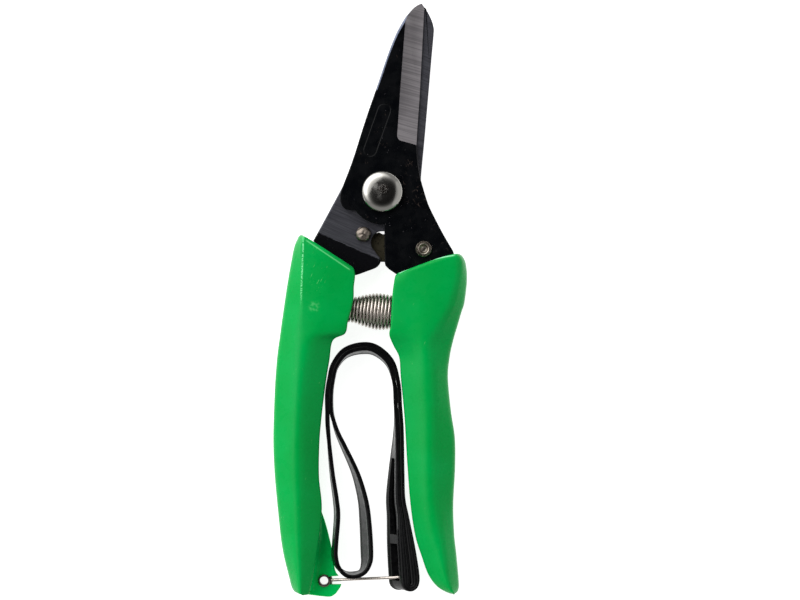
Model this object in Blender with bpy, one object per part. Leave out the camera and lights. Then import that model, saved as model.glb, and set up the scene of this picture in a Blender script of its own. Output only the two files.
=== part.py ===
"""Bypass pruner (thinning snips) lying on its back, closed: two steel blade halves on one
pivot bolt, two moulded handles, a barrel spring between them, a lock lever behind the blades,
and a rubber wrist strap hooked to the left handle by a wire link.

Lengths are in millimetres, and plan positions are measured from the blade pivot: +X to the
right, +Y towards the blade tips, +Z out of the front face. The object is moved to its own
frame (origin under the middle of its bounding box, on the table) when the meshes are made.
"""
import math

import bpy
import numpy as np
from mathutils import Vector

MM = 0.001
PIVOT = Vector((3.9, 35.0, 0.0))    # blade pivot in the object's frame

# Layers, counted up from the table the tool lies on
HANDLE_DEPTH = 15.0
GAP = 0.3                            # running clearance between neighbouring pieces
PLATE = 2.5                          # blade plate thickness
REAR_LOW = 4.85
REAR_TOP = REAR_LOW + PLATE
FRONT_LOW = REAR_TOP + GAP
FRONT_TOP = FRONT_LOW + PLATE
MID_DEPTH = HANDLE_DEPTH / 2

# Pivot hardware
BOLT_R = 3.0
HEAD_R = 6.6
HEAD_RISE = 2.9
NUT_FLATS = 9.5
WASHER_R = 6.2

# Stop pin and lock lever
STOP_PIN = (-6.1, -13.55)
STOP_HEAD_R = 2.4
STOP_SHANK_R = 1.5
LEVER_RIVET = (13.2, -18.3)
LEVER_TOP = REAR_LOW - 0.4
LEVER_THICK = 1.5
LEVER_LOW = LEVER_TOP - LEVER_THICK
LEVER_WASHER = 0.4

# Spring
SPRING_LEFT = Vector((-11.6, -37.6, MID_DEPTH))
SPRING_RIGHT = Vector((5.2, -38.75, MID_DEPTH))
SPRING_WIRE_R = 0.45
SPRING_TURNS = 15

# Wrist strap, its wire link and the eyelet that holds the link
EYELET = (-18.75, -124.8)
EYELET_R = 1.55
TAB_LOW, TAB_TOP = 0.7, 3.3          # thin tab at the back of the left handle's end
LINK_EYE_Z = (TAB_LOW + TAB_TOP) / 2
LINK_WIRE_R = 0.475
LINK_BAR = (5.55, -123.4, MID_DEPTH)
STRAP_Z = MID_DEPTH
STRAP_HALF = 4.0                     # half the width of the band, which stands on its edge


# ---------------------------------------------------------------- general helpers

def clear_scene():
    for item in list(bpy.data.objects):
        bpy.data.objects.remove(item, do_unlink=True)


def material(name, colour, roughness, metallic=0.0):
    made = bpy.data.materials.new(name)
    made.use_nodes = True
    shader = made.node_tree.nodes["Principled BSDF"]
    shader.inputs["Base Color"].default_value = (*colour, 1.0)
    shader.inputs["Roughness"].default_value = roughness
    shader.inputs["Metallic"].default_value = metallic
    return made


def solid(name, verts, faces, finish, smooth_angle=None, origin=None):
    """Makes one object; its origin is set at `origin`, a plan position, or at the pivot."""
    at = PIVOT + Vector((*origin, 0.0)) if origin else PIVOT
    shift = PIVOT - at
    mesh = bpy.data.meshes.new(name)
    mesh.from_pydata([(Vector(v) + shift) * MM for v in verts], [], faces)
    mesh.validate()
    made = bpy.data.objects.new(name, mesh)
    made.location = at * MM
    bpy.context.scene.collection.objects.link(made)
    if finish:
        mesh.materials.append(finish)
    if smooth_angle:
        mesh.shade_smooth()
        mesh.set_sharp_from_angle(angle=math.radians(smooth_angle))
    return made


def combine(target, tool, operation, solver="EXACT"):
    """Adds a Boolean of `tool` to `target` and hides the tool as a wire guide."""
    step = target.modifiers.new(operation.lower(), "BOOLEAN")
    step.operation = operation
    step.solver = solver
    step.object = tool
    tool.hide_render = True
    tool.display_type = "WIRE"


def arc(centre, radius, start, stop, count):
    """Points on a circle from `start` to `stop` degrees."""
    turns = np.radians(np.linspace(start, stop, count))
    return [(centre[0] + radius * math.cos(a), centre[1] + radius * math.sin(a)) for a in turns]


def prism(outline, low, top):
    """An upright prism on an outline given anticlockwise."""
    count = len(outline)
    verts = [(x, y, low) for x, y in outline] + [(x, y, top) for x, y in outline]
    sides = [(i, (i + 1) % count, (i + 1) % count + count, i + count) for i in range(count)]
    return verts, [tuple(reversed(range(count))), tuple(range(count, 2 * count))] + sides


def turned(profile, centre, segments=32):
    """A solid turned about an upright axis.

    `profile` is (radius, height) pairs, anticlockwise in the plane with the axis on its left.
    A radius of 0 gives one point on the axis.
    """
    verts, rings = [], []
    for radius, height in profile:
        if radius == 0:
            rings.append([len(verts)] * segments)
            verts.append((centre[0], centre[1], height))
            continue
        rings.append(list(range(len(verts), len(verts) + segments)))
        verts += [(x, y, height) for x, y in arc(centre, radius, 0, 360, segments + 1)[:-1]]
    pairs = list(zip(rings, rings[1:]))
    if profile[0][0] != 0:
        pairs.append((rings[-1], rings[0]))
    faces = []
    for one, two in pairs:
        for i in range(segments):
            j = (i + 1) % segments
            corner = [one[i], one[j], two[j], two[i]]
            faces.append(tuple(dict.fromkeys(corner)))
    return verts, faces


def loft(rings, closed=False):
    """Skins equal rings of points in order, with flat ends unless the path is closed."""
    count = len(rings[0])
    verts = [tuple(point) for ring in rings for point in ring]
    stops = len(rings) if closed else len(rings) - 1
    faces = []
    for r in range(stops):
        here, there = r * count, (r + 1) % len(rings) * count
        for i in range(count):
            j = (i + 1) % count
            faces.append((here + i, here + j, there + j, there + i))
    if not closed:
        faces.append(tuple(reversed(range(count))))
        faces.append(tuple(range(len(verts) - count, len(verts))))
    return verts, faces


def tube(path, radius, sides=8, closed=False):
    """A round wire along a path of Vectors."""
    count = len(path)
    rings = []
    for i, point in enumerate(path):
        before = path[i - 1] if i or closed else path[0]
        after = path[(i + 1) % count] if i < count - 1 or closed else path[-1]
        along = (after - before).normalized()
        side = along.cross(Vector((0.0, 0.0, 1.0)))
        side = side.normalized() if side.length > 0.2 else Vector((0.0, 1.0, 0.0))
        up = along.cross(side)
        rings.append([
            point + radius * (math.cos(a) * side + math.sin(a) * up)
            for a in np.linspace(0, 2 * math.pi, sides, endpoint=False)
        ])
    return loft(rings, closed)


def smoothed(rows, per_span, closed=False):
    """Rows of numbers joined by a Catmull-Rom curve through all of them."""
    rows = np.array(rows, float)
    count = len(rows)
    spans = count if closed else count - 1
    ends = (rows[-1], rows[0], rows[1]) if closed else (rows[0], rows[-1], rows[-1])
    padded = np.vstack([ends[0], rows, ends[1], ends[2]])
    out = []
    for i in range(spans):
        a, b, c, d = padded[i:i + 4]
        for t in np.arange(per_span) / per_span:
            bend = (2 * a - 5 * b + 4 * c - d) * t**2 + (3 * b - 3 * c + d - a) * t**3
            out.append(b + 0.5 * ((c - a) * t + bend))
    if not closed:
        out.append(rows[-1])
    return np.array(out)


# ---------------------------------------------------------------- blades

def front_outline():
    """Long blade, pivot area, relief round the stop pin, and the tang in the right handle."""
    left = [(12.6, 60.1), (9.9, 58.6), (7.7, 56.1), (4.0, 49.8), (-1.3, 34.7), (-9.4, 10.3),
            (-12.5, 2.1), (-13.45, -0.5), (-13.45, -3.1), (-12.6, -4.9), (-11.4, -5.7)]
    relief = arc((0, 0), 10.5, 213, 273.5, 8)
    tang = [(0.73, -22.5), (0.9, -23.6), (4.1, -25.7), (6.4, -24.95), (7.6, -28.0),
            (9.5, -54.0), (16.0, -54.0), (18.8, -24.0), (20.4, -20.1), (22.3, -19.4)]
    right = [(19.7, -14.1), (16.5, -7.9), (14.6, -3.8), (12.8, 1.7), (12.2, 4.15),
             (11.2, 10.1), (10.9, 14.7), (11.8, 28.6), (12.6, 44.1), (13.4, 58.8)]
    return left + relief + tang + right


def rear_outline():
    """Short-edged lower blade, stop pin area with its round notch, tang in the left handle."""
    right = [(13.2, 59.2), (12.4, 58.8), (8.4, 48.0), (3.4, 28.0), (-3.0, 13.0), (-12.0, 2.9)]
    tang = [(-21.9, -15.3), (-20.2, -16.6), (-22.0, -22.0), (-27.0, -52.0), (-21.0, -53.5),
            (-13.0, -25.5), (-11.6, -22.9), (-9.3, -24.4), (-8.3, -26.55), (-4.8, -25.3),
            (-1.9, -24.2), (-0.5, -22.3), (-0.7, -21.2)]
    notch = arc((-0.05, -16.2), 3.6, 229, 83, 8)
    back = [(6.0, -11.2), (10.6, -6.5), (12.3, 0.0), (12.4, 5.0), (13.4, 15.6), (14.6, 29.4),
            (15.8, 43.3), (16.5, 51.4), (15.9, 54.7), (15.0, 56.7)]
    return right + tang + notch + back


def bevel_cutter(name, edge, border, edge_height, border_height):
    """A wedge over the ground face: from the back border's height down to the cutting edge."""
    over = 3.0 if border_height > edge_height else -3.0
    rings = []
    for (ex, ey), (bx, by) in zip(edge, border):
        reach = 1.6
        out = (ex + (ex - bx) * reach, ey + (ey - by) * reach)
        drop = edge_height + (edge_height - border_height) * reach
        rings.append([(bx, by, border_height), (bx, by, border_height + over),
                      (*out, border_height + over), (*out, drop)])
    verts, faces = loft(rings)
    if over < 0:
        faces = [tuple(reversed(face)) for face in faces]
    return solid(name, verts, faces, None)


def drilled(target, name, centre, radius):
    verts, faces = turned([(0, -2), (radius, -2), (radius, 20), (0, 20)], centre, 32)
    combine(target, solid(name, verts, faces, None), "DIFFERENCE")


def blades(coated, ground):
    verts, faces = prism(front_outline(), FRONT_LOW, FRONT_TOP)
    front = solid("front_blade", verts, faces, coated)
    drilled(front, "guide_front_pivot", (0, 0), BOLT_R + GAP)
    drilled(front, "guide_lever_rivet", LEVER_RIVET, 1.6 + GAP)
    wedge = bevel_cutter("guide_front_bevel", [(11.1, 14.7), (13.45, 61.5)],
                         [(4.7, 16.5), (7.9, 61.5)], FRONT_LOW + 0.5, FRONT_TOP)
    combine(front, wedge, "DIFFERENCE")

    verts, faces = prism(rear_outline(), REAR_LOW, REAR_TOP)
    rear = solid("rear_blade", verts, faces, ground)
    drilled(rear, "guide_rear_pivot", (0, 0), BOLT_R + GAP)
    drilled(rear, "guide_stop_pin", STOP_PIN, STOP_SHANK_R + GAP)
    wedge = bevel_cutter("guide_rear_bevel", [(12.4, 59.5), (8.4, 48.0), (3.4, 28.0)],
                         [(17.6, 57.8), (13.4, 46.7), (8.3, 26.6)], REAR_TOP - 0.5, REAR_LOW)
    combine(rear, wedge, "DIFFERENCE")


# ---------------------------------------------------------------- pivot, stop pin, lever

def domed(radius, rise, steps, low):
    """Profile of a shallow dome from its rim up to the axis."""
    return [(radius * math.cos(a), low + rise * math.sin(a))
            for a in np.linspace(0, math.pi / 2, steps)][:-1] + [(0, low + rise)]


def pivot(chrome, steel):
    seat = FRONT_TOP + GAP
    profile = [(0, 1.2), (BOLT_R, 1.2), (BOLT_R, seat), (HEAD_R, seat), (HEAD_R, seat + 0.45)]
    profile += domed(HEAD_R - 1.0, HEAD_RISE - 0.55, 7, seat + 0.55)
    solid("pivot_bolt", *turned(profile, (0, 0), 40), chrome, 40)

    top = REAR_LOW - GAP
    ring = [(BOLT_R + GAP, top - 0.8), (WASHER_R, top - 0.8), (WASHER_R, top),
            (BOLT_R + GAP, top)]
    solid("pivot_washer", *turned(ring, (0, 0), 32), steel, 40)

    top -= 0.8 + GAP
    low = 1.7
    corner = NUT_FLATS / math.sqrt(3)
    verts, faces = prism(arc((0, 0), corner, 0, 300, 6), low, top)
    nut = solid("pivot_nut", verts, faces, steel)
    drilled(nut, "guide_nut_bore", (0, 0), BOLT_R + GAP)


def stop_pin(steel):
    seat = REAR_TOP + GAP
    profile = [(0, LEVER_LOW), (STOP_SHANK_R, LEVER_LOW), (STOP_SHANK_R, seat),
               (STOP_HEAD_R, seat), (STOP_HEAD_R, seat + 0.9)]
    profile += domed(STOP_HEAD_R - 0.05, 1.2, 5, seat + 0.95)
    solid("stop_pin", *turned(profile, STOP_PIN, 28), steel, 40)


def lever_outline():
    """Lock lever seen from the front: round end at its rivet, hook open towards the pin."""
    x, y = LEVER_RIVET
    reach = math.hypot(STOP_PIN[0] - x, STOP_PIN[1] - y)
    slot = STOP_SHANK_R + GAP + 0.2
    outer = arc(LEVER_RIVET, reach + slot, 173.5, 184.0, 5)
    inner = arc(LEVER_RIVET, reach - slot, 184.0, 170.5, 6)
    end = arc(LEVER_RIVET, 3.9, 80, -80, 9)
    return (end + [(9.0, -22.7), (0.0, -22.4), (-6.0, -22.6), (-9.8, -20.6), (-11.3, -17.2),
                   (-10.6, -15.3)] + outer + inner + [(-4.2, -14.8), (-3.3, -13.5), (-1.0, -12.9),
                                             (0.0, -13.5), (1.6, -13.5)])


def lock_lever(steel, dark):
    verts, faces = prism(list(reversed(lever_outline())), LEVER_LOW, LEVER_TOP)
    lever = solid("lock_lever", verts, faces, dark, origin=LEVER_RIVET)
    verts, faces = prism([(2.6, -23.9), (8.4, -23.9), (8.4, -22.2), (2.6, -22.2)],
                         0.5, LEVER_TOP - 0.1)
    combine(lever, solid("guide_lever_tab", verts, faces, None), "UNION")
    drilled(lever, "guide_lever_bore", LEVER_RIVET, 1.6 + GAP)

    low, top = LEVER_TOP + GAP, FRONT_LOW - GAP
    collar = [(1.6 + GAP, low), (2.7, low), (2.7, top), (1.6 + GAP, top)]
    solid("lever_spacer", *turned(collar, LEVER_RIVET, 24), steel, 40)

    top = LEVER_LOW - GAP
    washer = [(1.6 + GAP, top - LEVER_WASHER), (3.1, top - LEVER_WASHER), (3.1, top),
              (1.6 + GAP, top)]
    solid("lever_washer", *turned(washer, LEVER_RIVET, 24), steel, 40)

    back, seat = top - LEVER_WASHER - GAP, FRONT_TOP + GAP
    rivet = [(0, back - 0.5), (2.5, back - 0.5), (2.5, back), (1.6, back), (1.6, seat),
             (2.55, seat), (2.55, seat + 0.35), (2.0, seat + 0.75), (1.2, seat + 0.45),
             (0.9, seat), (0, seat - 0.2)]
    solid("lever_rivet", *turned(rivet, LEVER_RIVET, 28), steel, 40)


# ---------------------------------------------------------------- handles

# Each station is one cut across the handle: outer edge x, y, inner edge x, y, the ridges' places
# as shares of the way from the outer edge to the inner one, and half the depth of the inner side.
LEFT_STATIONS = [
    (-26.1, -14.0, -9.7, -24.6, 0.12, 0.80, 5.6),
    (-28.2, -17.0, -8.8, -26.8, 0.14, 0.80, 6.3),
    (-29.1, -22.0, -9.2, -30.5, 0.18, 0.82, 6.4),
    (-30.4, -29.5, -9.3, -34.0, 0.22, 0.84, 6.4),
    (-31.3, -35.5, -10.1, -38.0, 0.26, 0.84, 6.4),
    (-31.8, -39.0, -11.1, -41.5, 0.27, 0.84, 6.4),
    (-32.3, -42.5, -12.0, -45.3, 0.28, 0.78, 5.8),
    (-32.9, -47.0, -15.9, -47.6, 0.34, 0.70, 4.2),
    (-33.6, -52.2, -17.0, -54.0, 0.36, 0.66, 3.6),
    (-34.3, -60.9, -18.2, -61.5, 0.38, 0.64, 3.5),
    (-34.8, -73.0, -19.6, -73.0, 0.40, 0.66, 3.5),
    (-34.9, -81.0, -20.2, -81.0, 0.40, 0.68, 3.5),
    (-34.5, -90.0, -20.3, -91.0, 0.39, 0.68, 3.5),
    (-33.5, -101.2, -19.4, -101.2, 0.36, 0.62, 3.5),
    (-32.1, -113.5, -20.6, -113.5, 0.36, 0.64, 3.8),
    (-30.0, -122.8, -22.3, -122.8, 0.36, 0.66, 4.4),
    (-28.6, -127.3, -23.3, -127.8, 0.36, 0.66, 5.0),
    (-26.5, -128.6, -24.2, -128.8, 0.36, 0.66, 5.0),
]
RIGHT_STATIONS = [
    (25.2, -20.0, 4.35, -26.3, 0.10, 0.80, 5.6),
    (26.6, -22.6, 3.9, -28.8, 0.14, 0.80, 6.3),
    (27.1, -27.9, 3.4, -32.6, 0.20, 0.80, 6.4),
    (26.3, -35.3, 3.0, -38.6, 0.24, 0.78, 6.4),
    (25.3, -38.6, 2.8, -42.8, 0.26, 0.76, 6.4),
    (23.9, -43.4, 2.4, -45.8, 0.30, 0.72, 5.8),
    (22.6, -47.9, 3.7, -49.2, 0.36, 0.64, 4.4),
    (21.5, -53.2, 5.5, -53.0, 0.34, 0.64, 3.6),
    (21.0, -59.8, 6.0, -59.5, 0.28, 0.64, 3.5),
    (22.0, -70.4, 7.1, -71.0, 0.34, 0.66, 3.5),
    (23.2, -78.5, 7.6, -79.0, 0.40, 0.70, 3.5),
    (23.3, -88.0, 8.15, -88.0, 0.42, 0.72, 3.5),
    (22.7, -100.0, 9.1, -100.0, 0.38, 0.72, 3.5),
    (23.0, -109.6, 10.6, -109.8, 0.30, 0.68, 3.5),
    (23.7, -116.0, 12.7, -116.6, 0.30, 0.64, 3.5),
    (24.3, -122.5, 14.8, -122.3, 0.32, 0.60, 3.6),
    (24.5, -126.2, 17.8, -126.2, 0.34, 0.62, 4.0),
    (24.0, -128.3, 21.9, -128.5, 0.36, 0.64, 4.6),
]
SIDE_DRAFT = 0.9                     # how far the inner side leans back below its upper edge


def handle_ring(station):
    """One cut: faceted, flat on its back, widest towards its front."""
    ox, oy, ix, iy, outer_ridge, inner_ridge, side = station
    width = math.hypot(ix - ox, iy - oy)
    draft = SIDE_DRAFT / width
    profile = [(0.0, 5.0), (0.0, 9.8), (outer_ridge, HANDLE_DEPTH - 0.5),
               ((outer_ridge + inner_ridge) / 2, HANDLE_DEPTH),
               (inner_ridge, HANDLE_DEPTH - 0.7), (1.0, MID_DEPTH + side),
               (1 - draft, MID_DEPTH - 0.3), (1 - draft, MID_DEPTH - side),
               (inner_ridge, 0.0), (outer_ridge, 0.0)]
    return [(ox + (ix - ox) * u, oy + (iy - oy) * u, z) for u, z in profile]


def tang_cavity(name, outline, low, top):
    """The room round a tang: its outline moved out by the clearance along each edge's normal."""
    points = np.array(outline)
    run = np.roll(points, -1, axis=0) - points
    run /= np.linalg.norm(run, axis=1)[:, None]
    after = np.column_stack([run[:, 1], -run[:, 0]])
    before = np.roll(after, 1, axis=0)
    corner = (before + after) / (1 + np.sum(before * after, axis=1))[:, None]
    grown = points + corner * GAP
    return solid(name, *prism([tuple(p) for p in grown], low - GAP, top + GAP), None)


def spring_seat(name, end, towards, outer_r):
    """An annular pocket for the spring's last turns, leaving a peg in its middle."""
    along = (towards - end).normalized()
    start = end - along * 0.6
    side = along.cross(Vector((0, 0, 1))).normalized()
    up = side.cross(along)
    rings = []
    for radius, reach in ((2.6, 0.0), (outer_r, 0.0), (outer_r, 9.0), (2.6, 9.0)):
        centre = start + along * reach
        rings.append([centre + radius * (math.cos(a) * side + math.sin(a) * up)
                      for a in np.linspace(0, 2 * math.pi, 24, endpoint=False)])
    verts, faces = loft(rings, closed=True)
    return solid(name, verts, [tuple(reversed(f)) for f in faces], None)


def handles(green):
    rings = [handle_ring(row) for row in LEFT_STATIONS]
    verts, faces = loft(rings)
    left = solid("left_handle", verts, [tuple(reversed(f)) for f in faces], green)
    tab = [(-18.9, -104.0), (-22.0, -104.5), (-26.0, -128.6), (-23.9, -129.3), (-16.5, -130.1),
           (-14.6, -128.6), (-13.2, -126.0), (-15.2, -121.5), (-16.8, -111.8)]
    combine(left, solid("guide_left_tab", *prism(tab, TAB_LOW, TAB_TOP), None), "UNION")
    inside = rear_outline()[8:12]
    tang = tang_cavity("guide_left_tang", [(-19.6, -13.0), *inside, (-10.0, -20.0)],
                       REAR_LOW, REAR_TOP)
    combine(left, tang, "DIFFERENCE")
    seat = spring_seat("guide_left_seat", SPRING_LEFT, SPRING_RIGHT, 5.2)
    combine(left, seat, "DIFFERENCE")
    ex, ey = EYELET
    slot = prism([(ex, ey - 1.2), (-10.0, ey - 1.2), (-10.0, ey + 1.2), (ex, ey + 1.2)], -1.0, 9.0)
    combine(left, solid("guide_slot", *slot, None), "DIFFERENCE")
    drilled(left, "guide_eyelet", EYELET, EYELET_R + GAP)
    low, top = LINK_EYE_Z - 0.78, LINK_EYE_Z + 0.78
    kerf = [(0, low), (3.1, low), (3.1, top), (0, top)]
    combine(left, solid("guide_kerf", *turned(kerf, EYELET, 32), None), "DIFFERENCE")

    rings = [handle_ring(row) for row in RIGHT_STATIONS]
    right = solid("right_handle", *loft(rings), green)
    points = front_outline()
    inside = [p for p in points if p[1] < -22 and 7.0 < p[0] < 19.5]
    tang = tang_cavity("guide_right_tang", [(5.0, -21.0), *inside, (22.0, -17.0)],
                       FRONT_LOW, FRONT_TOP)
    combine(right, tang, "DIFFERENCE")
    seat = spring_seat("guide_right_seat", SPRING_RIGHT, SPRING_LEFT, 6.1)
    combine(right, seat, "DIFFERENCE")


# ---------------------------------------------------------------- spring

def spring(steel):
    """Barrel spring: narrow at the left end, widest a little right of its middle."""
    axis = SPRING_RIGHT - SPRING_LEFT
    along = axis.normalized()
    side = along.cross(Vector((0, 0, 1))).normalized()
    up = side.cross(along)
    per_turn = 14
    path = []
    for i in range(SPRING_TURNS * per_turn + 1):
        share = i / (SPRING_TURNS * per_turn)
        turn = 2 * math.pi * i / per_turn
        radius = float(np.interp(share, [0, 0.12, 0.62, 0.9, 1], [3.75, 3.75, 5.5, 4.9, 4.7]))
        path.append(SPRING_LEFT + axis * share
                    + radius * (math.cos(turn) * side + math.sin(turn) * up))
    rings = []
    for i, point in enumerate(path):
        before, after = path[max(i - 1, 0)], path[min(i + 1, len(path) - 1)]
        run = (after - before).normalized()
        across = along.cross(run).normalized()
        lift = run.cross(across)
        rings.append([point + SPRING_WIRE_R * (math.cos(a) * across + math.sin(a) * lift)
                      for a in np.linspace(0, 2 * math.pi, 6, endpoint=False)])
    solid("spring", *loft(rings), steel, 50)


# ---------------------------------------------------------------- wrist strap

# Middle line of the doubled band: x, y, thickness of both layers together, and how far the
# front edge leans from the middle in x and in y.
STRAP_PAIR = [
    (6.95, -123.0, 5.9, 2.2, 0.0), (6.35, -117.0, 5.4, 2.2, 0.0), (5.7, -111.0, 4.7, 2.1, 0.0),
    (4.95, -104.0, 3.4, 2.05, 0.0), (4.25, -98.0, 2.9, 1.8, 0.0), (4.5, -89.6, 2.8, 1.3, 0.0),
    (5.2, -76.2, 2.8, 0.3, 0.0), (4.95, -68.0, 2.7, 0.0, 0.0), (4.45, -61.0, 2.6, 0.0, 0.1),
    (2.4, -54.7, 2.7, 0.1, 0.35), (-2.2, -50.7, 2.8, 0.0, 0.6), (-7.0, -50.1, 2.8, 0.0, 0.65),
    (-12.0, -51.7, 2.7, 0.0, 0.5), (-15.2, -55.6, 2.6, 0.0, 0.15),
    (-16.3, -59.6, 2.5, 0.0, 0.0), (-17.0, -64.5, 2.6, 0.0, 0.0), (-16.95, -70.0, 2.6, 0.0, 0.0),
]
# The single band of the open loop at the left, from the outer strand round to the inner one
STRAP_LOOP = [
    (-17.4, -76.0, 1.3, 0.0, 0.0), (-16.15, -89.5, 1.3, 0.3, 0.0), (-14.9, -98.5, 1.35, 0.45, 0.0),
    (-14.5, -104.0, 1.35, 0.5, 0.0), (-15.1, -112.4, 1.35, 0.45, 0.0),
    (-15.25, -116.6, 1.35, 0.5, 0.2), (-14.2, -120.1, 1.35, 0.3, 0.2),
    (-11.8, -122.35, 1.35, 0.1, -0.1), (-8.9, -122.7, 1.35, 0.0, -0.35),
    (-6.4, -121.7, 1.35, 0.6, -0.1), (-5.2, -119.2, 1.35, 1.2, 0.0),
    (-4.95, -115.5, 1.35, 1.55, 0.0), (-5.4, -106.0, 1.35, 1.45, 0.0),
    (-6.25, -98.5, 1.35, 1.2, 0.0), (-8.6, -90.0, 1.3, 0.9, 0.0), (-12.4, -81.5, 1.3, 0.6, 0.0),
    (-14.3, -77.3, 1.3, 0.35, 0.0), (-15.6, -73.2, 1.3, 0.1, 0.0),
]
# The thick turn round the link's bar
STRAP_TURN = [
    (5.6, -125.55, 2.5, 2.2, 0.0), (6.95, -126.45, 2.5, 2.2, 0.0), (8.3, -125.55, 2.5, 2.2, 0.0),
]
LAYER_GAP = 0.36


def layer(rows, side):
    """One layer of the doubled band: the middle line moved half a layer to one side."""
    rows = np.array(rows, float)
    run = np.gradient(rows[:, :2], axis=0)
    run /= np.linalg.norm(run, axis=1)[:, None]
    normal = np.column_stack([run[:, 1], -run[:, 0]])
    thickness = (rows[:, 2] - LAYER_GAP) / 2
    moved = rows.copy()
    moved[:, :2] += side * normal * ((thickness + LAYER_GAP) / 2)[:, None]
    moved[:, 2] = thickness
    return moved


def band(rows, half_width, lean_share, closed):
    """A flat band standing on its edge along rows of x, y, thickness and lean."""
    count = len(rows)
    rings = []
    for i, (x, y, thickness, lean_x, lean_y) in enumerate(rows):
        before = rows[i - 1] if i or closed else rows[0]
        after = rows[(i + 1) % count] if i < count - 1 or closed else rows[-1]
        run = Vector((after[0] - before[0], after[1] - before[1])).normalized()
        nx, ny = run.y * thickness / 2, -run.x * thickness / 2
        lx, ly = lean_x * lean_share, lean_y * lean_share
        rings.append([(x + nx - lx, y + ny - ly, STRAP_Z - half_width),
                      (x - nx - lx, y - ny - ly, STRAP_Z - half_width),
                      (x - nx + lx, y - ny + ly, STRAP_Z + half_width),
                      (x + nx + lx, y + ny + ly, STRAP_Z + half_width)])
    return loft(rings, closed)


def slot_cutter(name, low_y, high_y, half_width):
    """Cuts the left layer of the doubled band between two heights along it."""
    fine = smoothed(STRAP_PAIR[:7], 6)
    rows = fine[(fine[:, 1] > low_y) & (fine[:, 1] < high_y)].copy()
    rows[:, 0] -= 3.0
    rows[:, 2] = 6.0
    verts, faces = band(rows, half_width, half_width / STRAP_HALF, False)
    return solid(name, verts, faces, None)


def wrist_strap(rubber):
    outer, inner = layer(STRAP_PAIR, 1), layer(STRAP_PAIR, -1)
    ring = np.vstack([outer, STRAP_LOOP, inner[::-1], STRAP_TURN])
    rows = smoothed(ring, 3, closed=True)
    verts, faces = band(rows, STRAP_HALF, 1.0, True)
    strap = solid("wrist_strap", verts, faces, rubber, 40)
    mouth = prism([(-1.0, -124.9), (5.6, -124.9), (5.6, -122.4), (-1.0, -122.4)],
                  STRAP_Z - 2.2, STRAP_Z + 1.6)
    cutters = [slot_cutter("guide_long_slot", -109.0, -84.0, 2.1),
               slot_cutter("guide_link_slot", -123.1, -112.3, 2.1),
               solid("guide_bar_room", *link_bar(1.0, 6.4), None),
               solid("guide_link_mouth", *mouth, None)]
    for cutter in cutters:
        combine(strap, cutter, "DIFFERENCE", "MANIFOLD")


def link_bar(radius, length):
    """The bar across the link's end, leaning with the band that turns round it."""
    lean = Vector((2.2, 0.0, STRAP_HALF)).normalized()
    middle = Vector(LINK_BAR)
    return tube([middle - lean * length / 2, middle + lean * length / 2], radius, 16)


def wire_link(steel):
    eye_r = EYELET_R + 0.25 + LINK_WIRE_R
    start, stop = Vector((*EYELET, LINK_EYE_Z)), Vector(LINK_BAR)
    along = (stop - start).normalized()
    verts, faces = tube([start + along * eye_r, stop], LINK_WIRE_R, 12)
    link = solid("wire_link", verts, faces, steel, 50, origin=EYELET)
    circle = [Vector((x, y, LINK_EYE_Z)) for x, y in arc(EYELET, eye_r, 0, 360, 25)[:-1]]
    eye = solid("guide_link_eye", *tube(circle, LINK_WIRE_R, 10, closed=True), None)
    combine(link, eye, "UNION")
    combine(link, solid("guide_link_bar", *link_bar(0.6, 5.2), None), "UNION")


def strap_eyelet(steel):
    low, top = TAB_LOW - GAP, TAB_TOP + GAP
    flange, bore, wall = 2.05, 1.25, 0.3
    profile = [(bore, low - wall), (flange, low - wall), (flange, low), (EYELET_R, low),
               (EYELET_R, top), (flange, top), (flange, top + wall), (bore, top + wall)]
    solid("strap_eyelet", *turned(profile, EYELET, 28), steel, 40)


def build():
    clear_scene()
    coated = material("black_coated_steel", (0.012, 0.013, 0.015), 0.42, 0.6)
    ground = material("ground_steel", (0.10, 0.10, 0.11), 0.4, 0.9)
    chrome = material("polished_steel", (0.62, 0.61, 0.59), 0.12, 1.0)
    steel = material("bright_steel", (0.45, 0.44, 0.42), 0.3, 1.0)
    dark = material("dark_steel", (0.06, 0.06, 0.05), 0.5, 0.8)
    green = material("green_plastic", (0.005, 0.42, 0.08), 0.35)
    rubber = material("black_rubber", (0.01, 0.01, 0.011), 0.45)
    blades(coated, ground)
    pivot(chrome, steel)
    stop_pin(steel)
    lock_lever(steel, dark)
    handles(green)
    spring(steel)
    strap_eyelet(steel)
    wire_link(steel)
    wrist_strap(rubber)


build()
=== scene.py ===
"""Looks of a bypass pruner: plates with eased edges, faceted handles, barrel spring, strap.

Lengths are in millimetres, and plan positions are measured from the blade pivot: +X to the
right, +Y towards the blade tips, +Z out of the front face. `Skin.finish` moves every piece to
the frame's own place, which is read from the pivot bolt.
"""
import math

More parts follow.
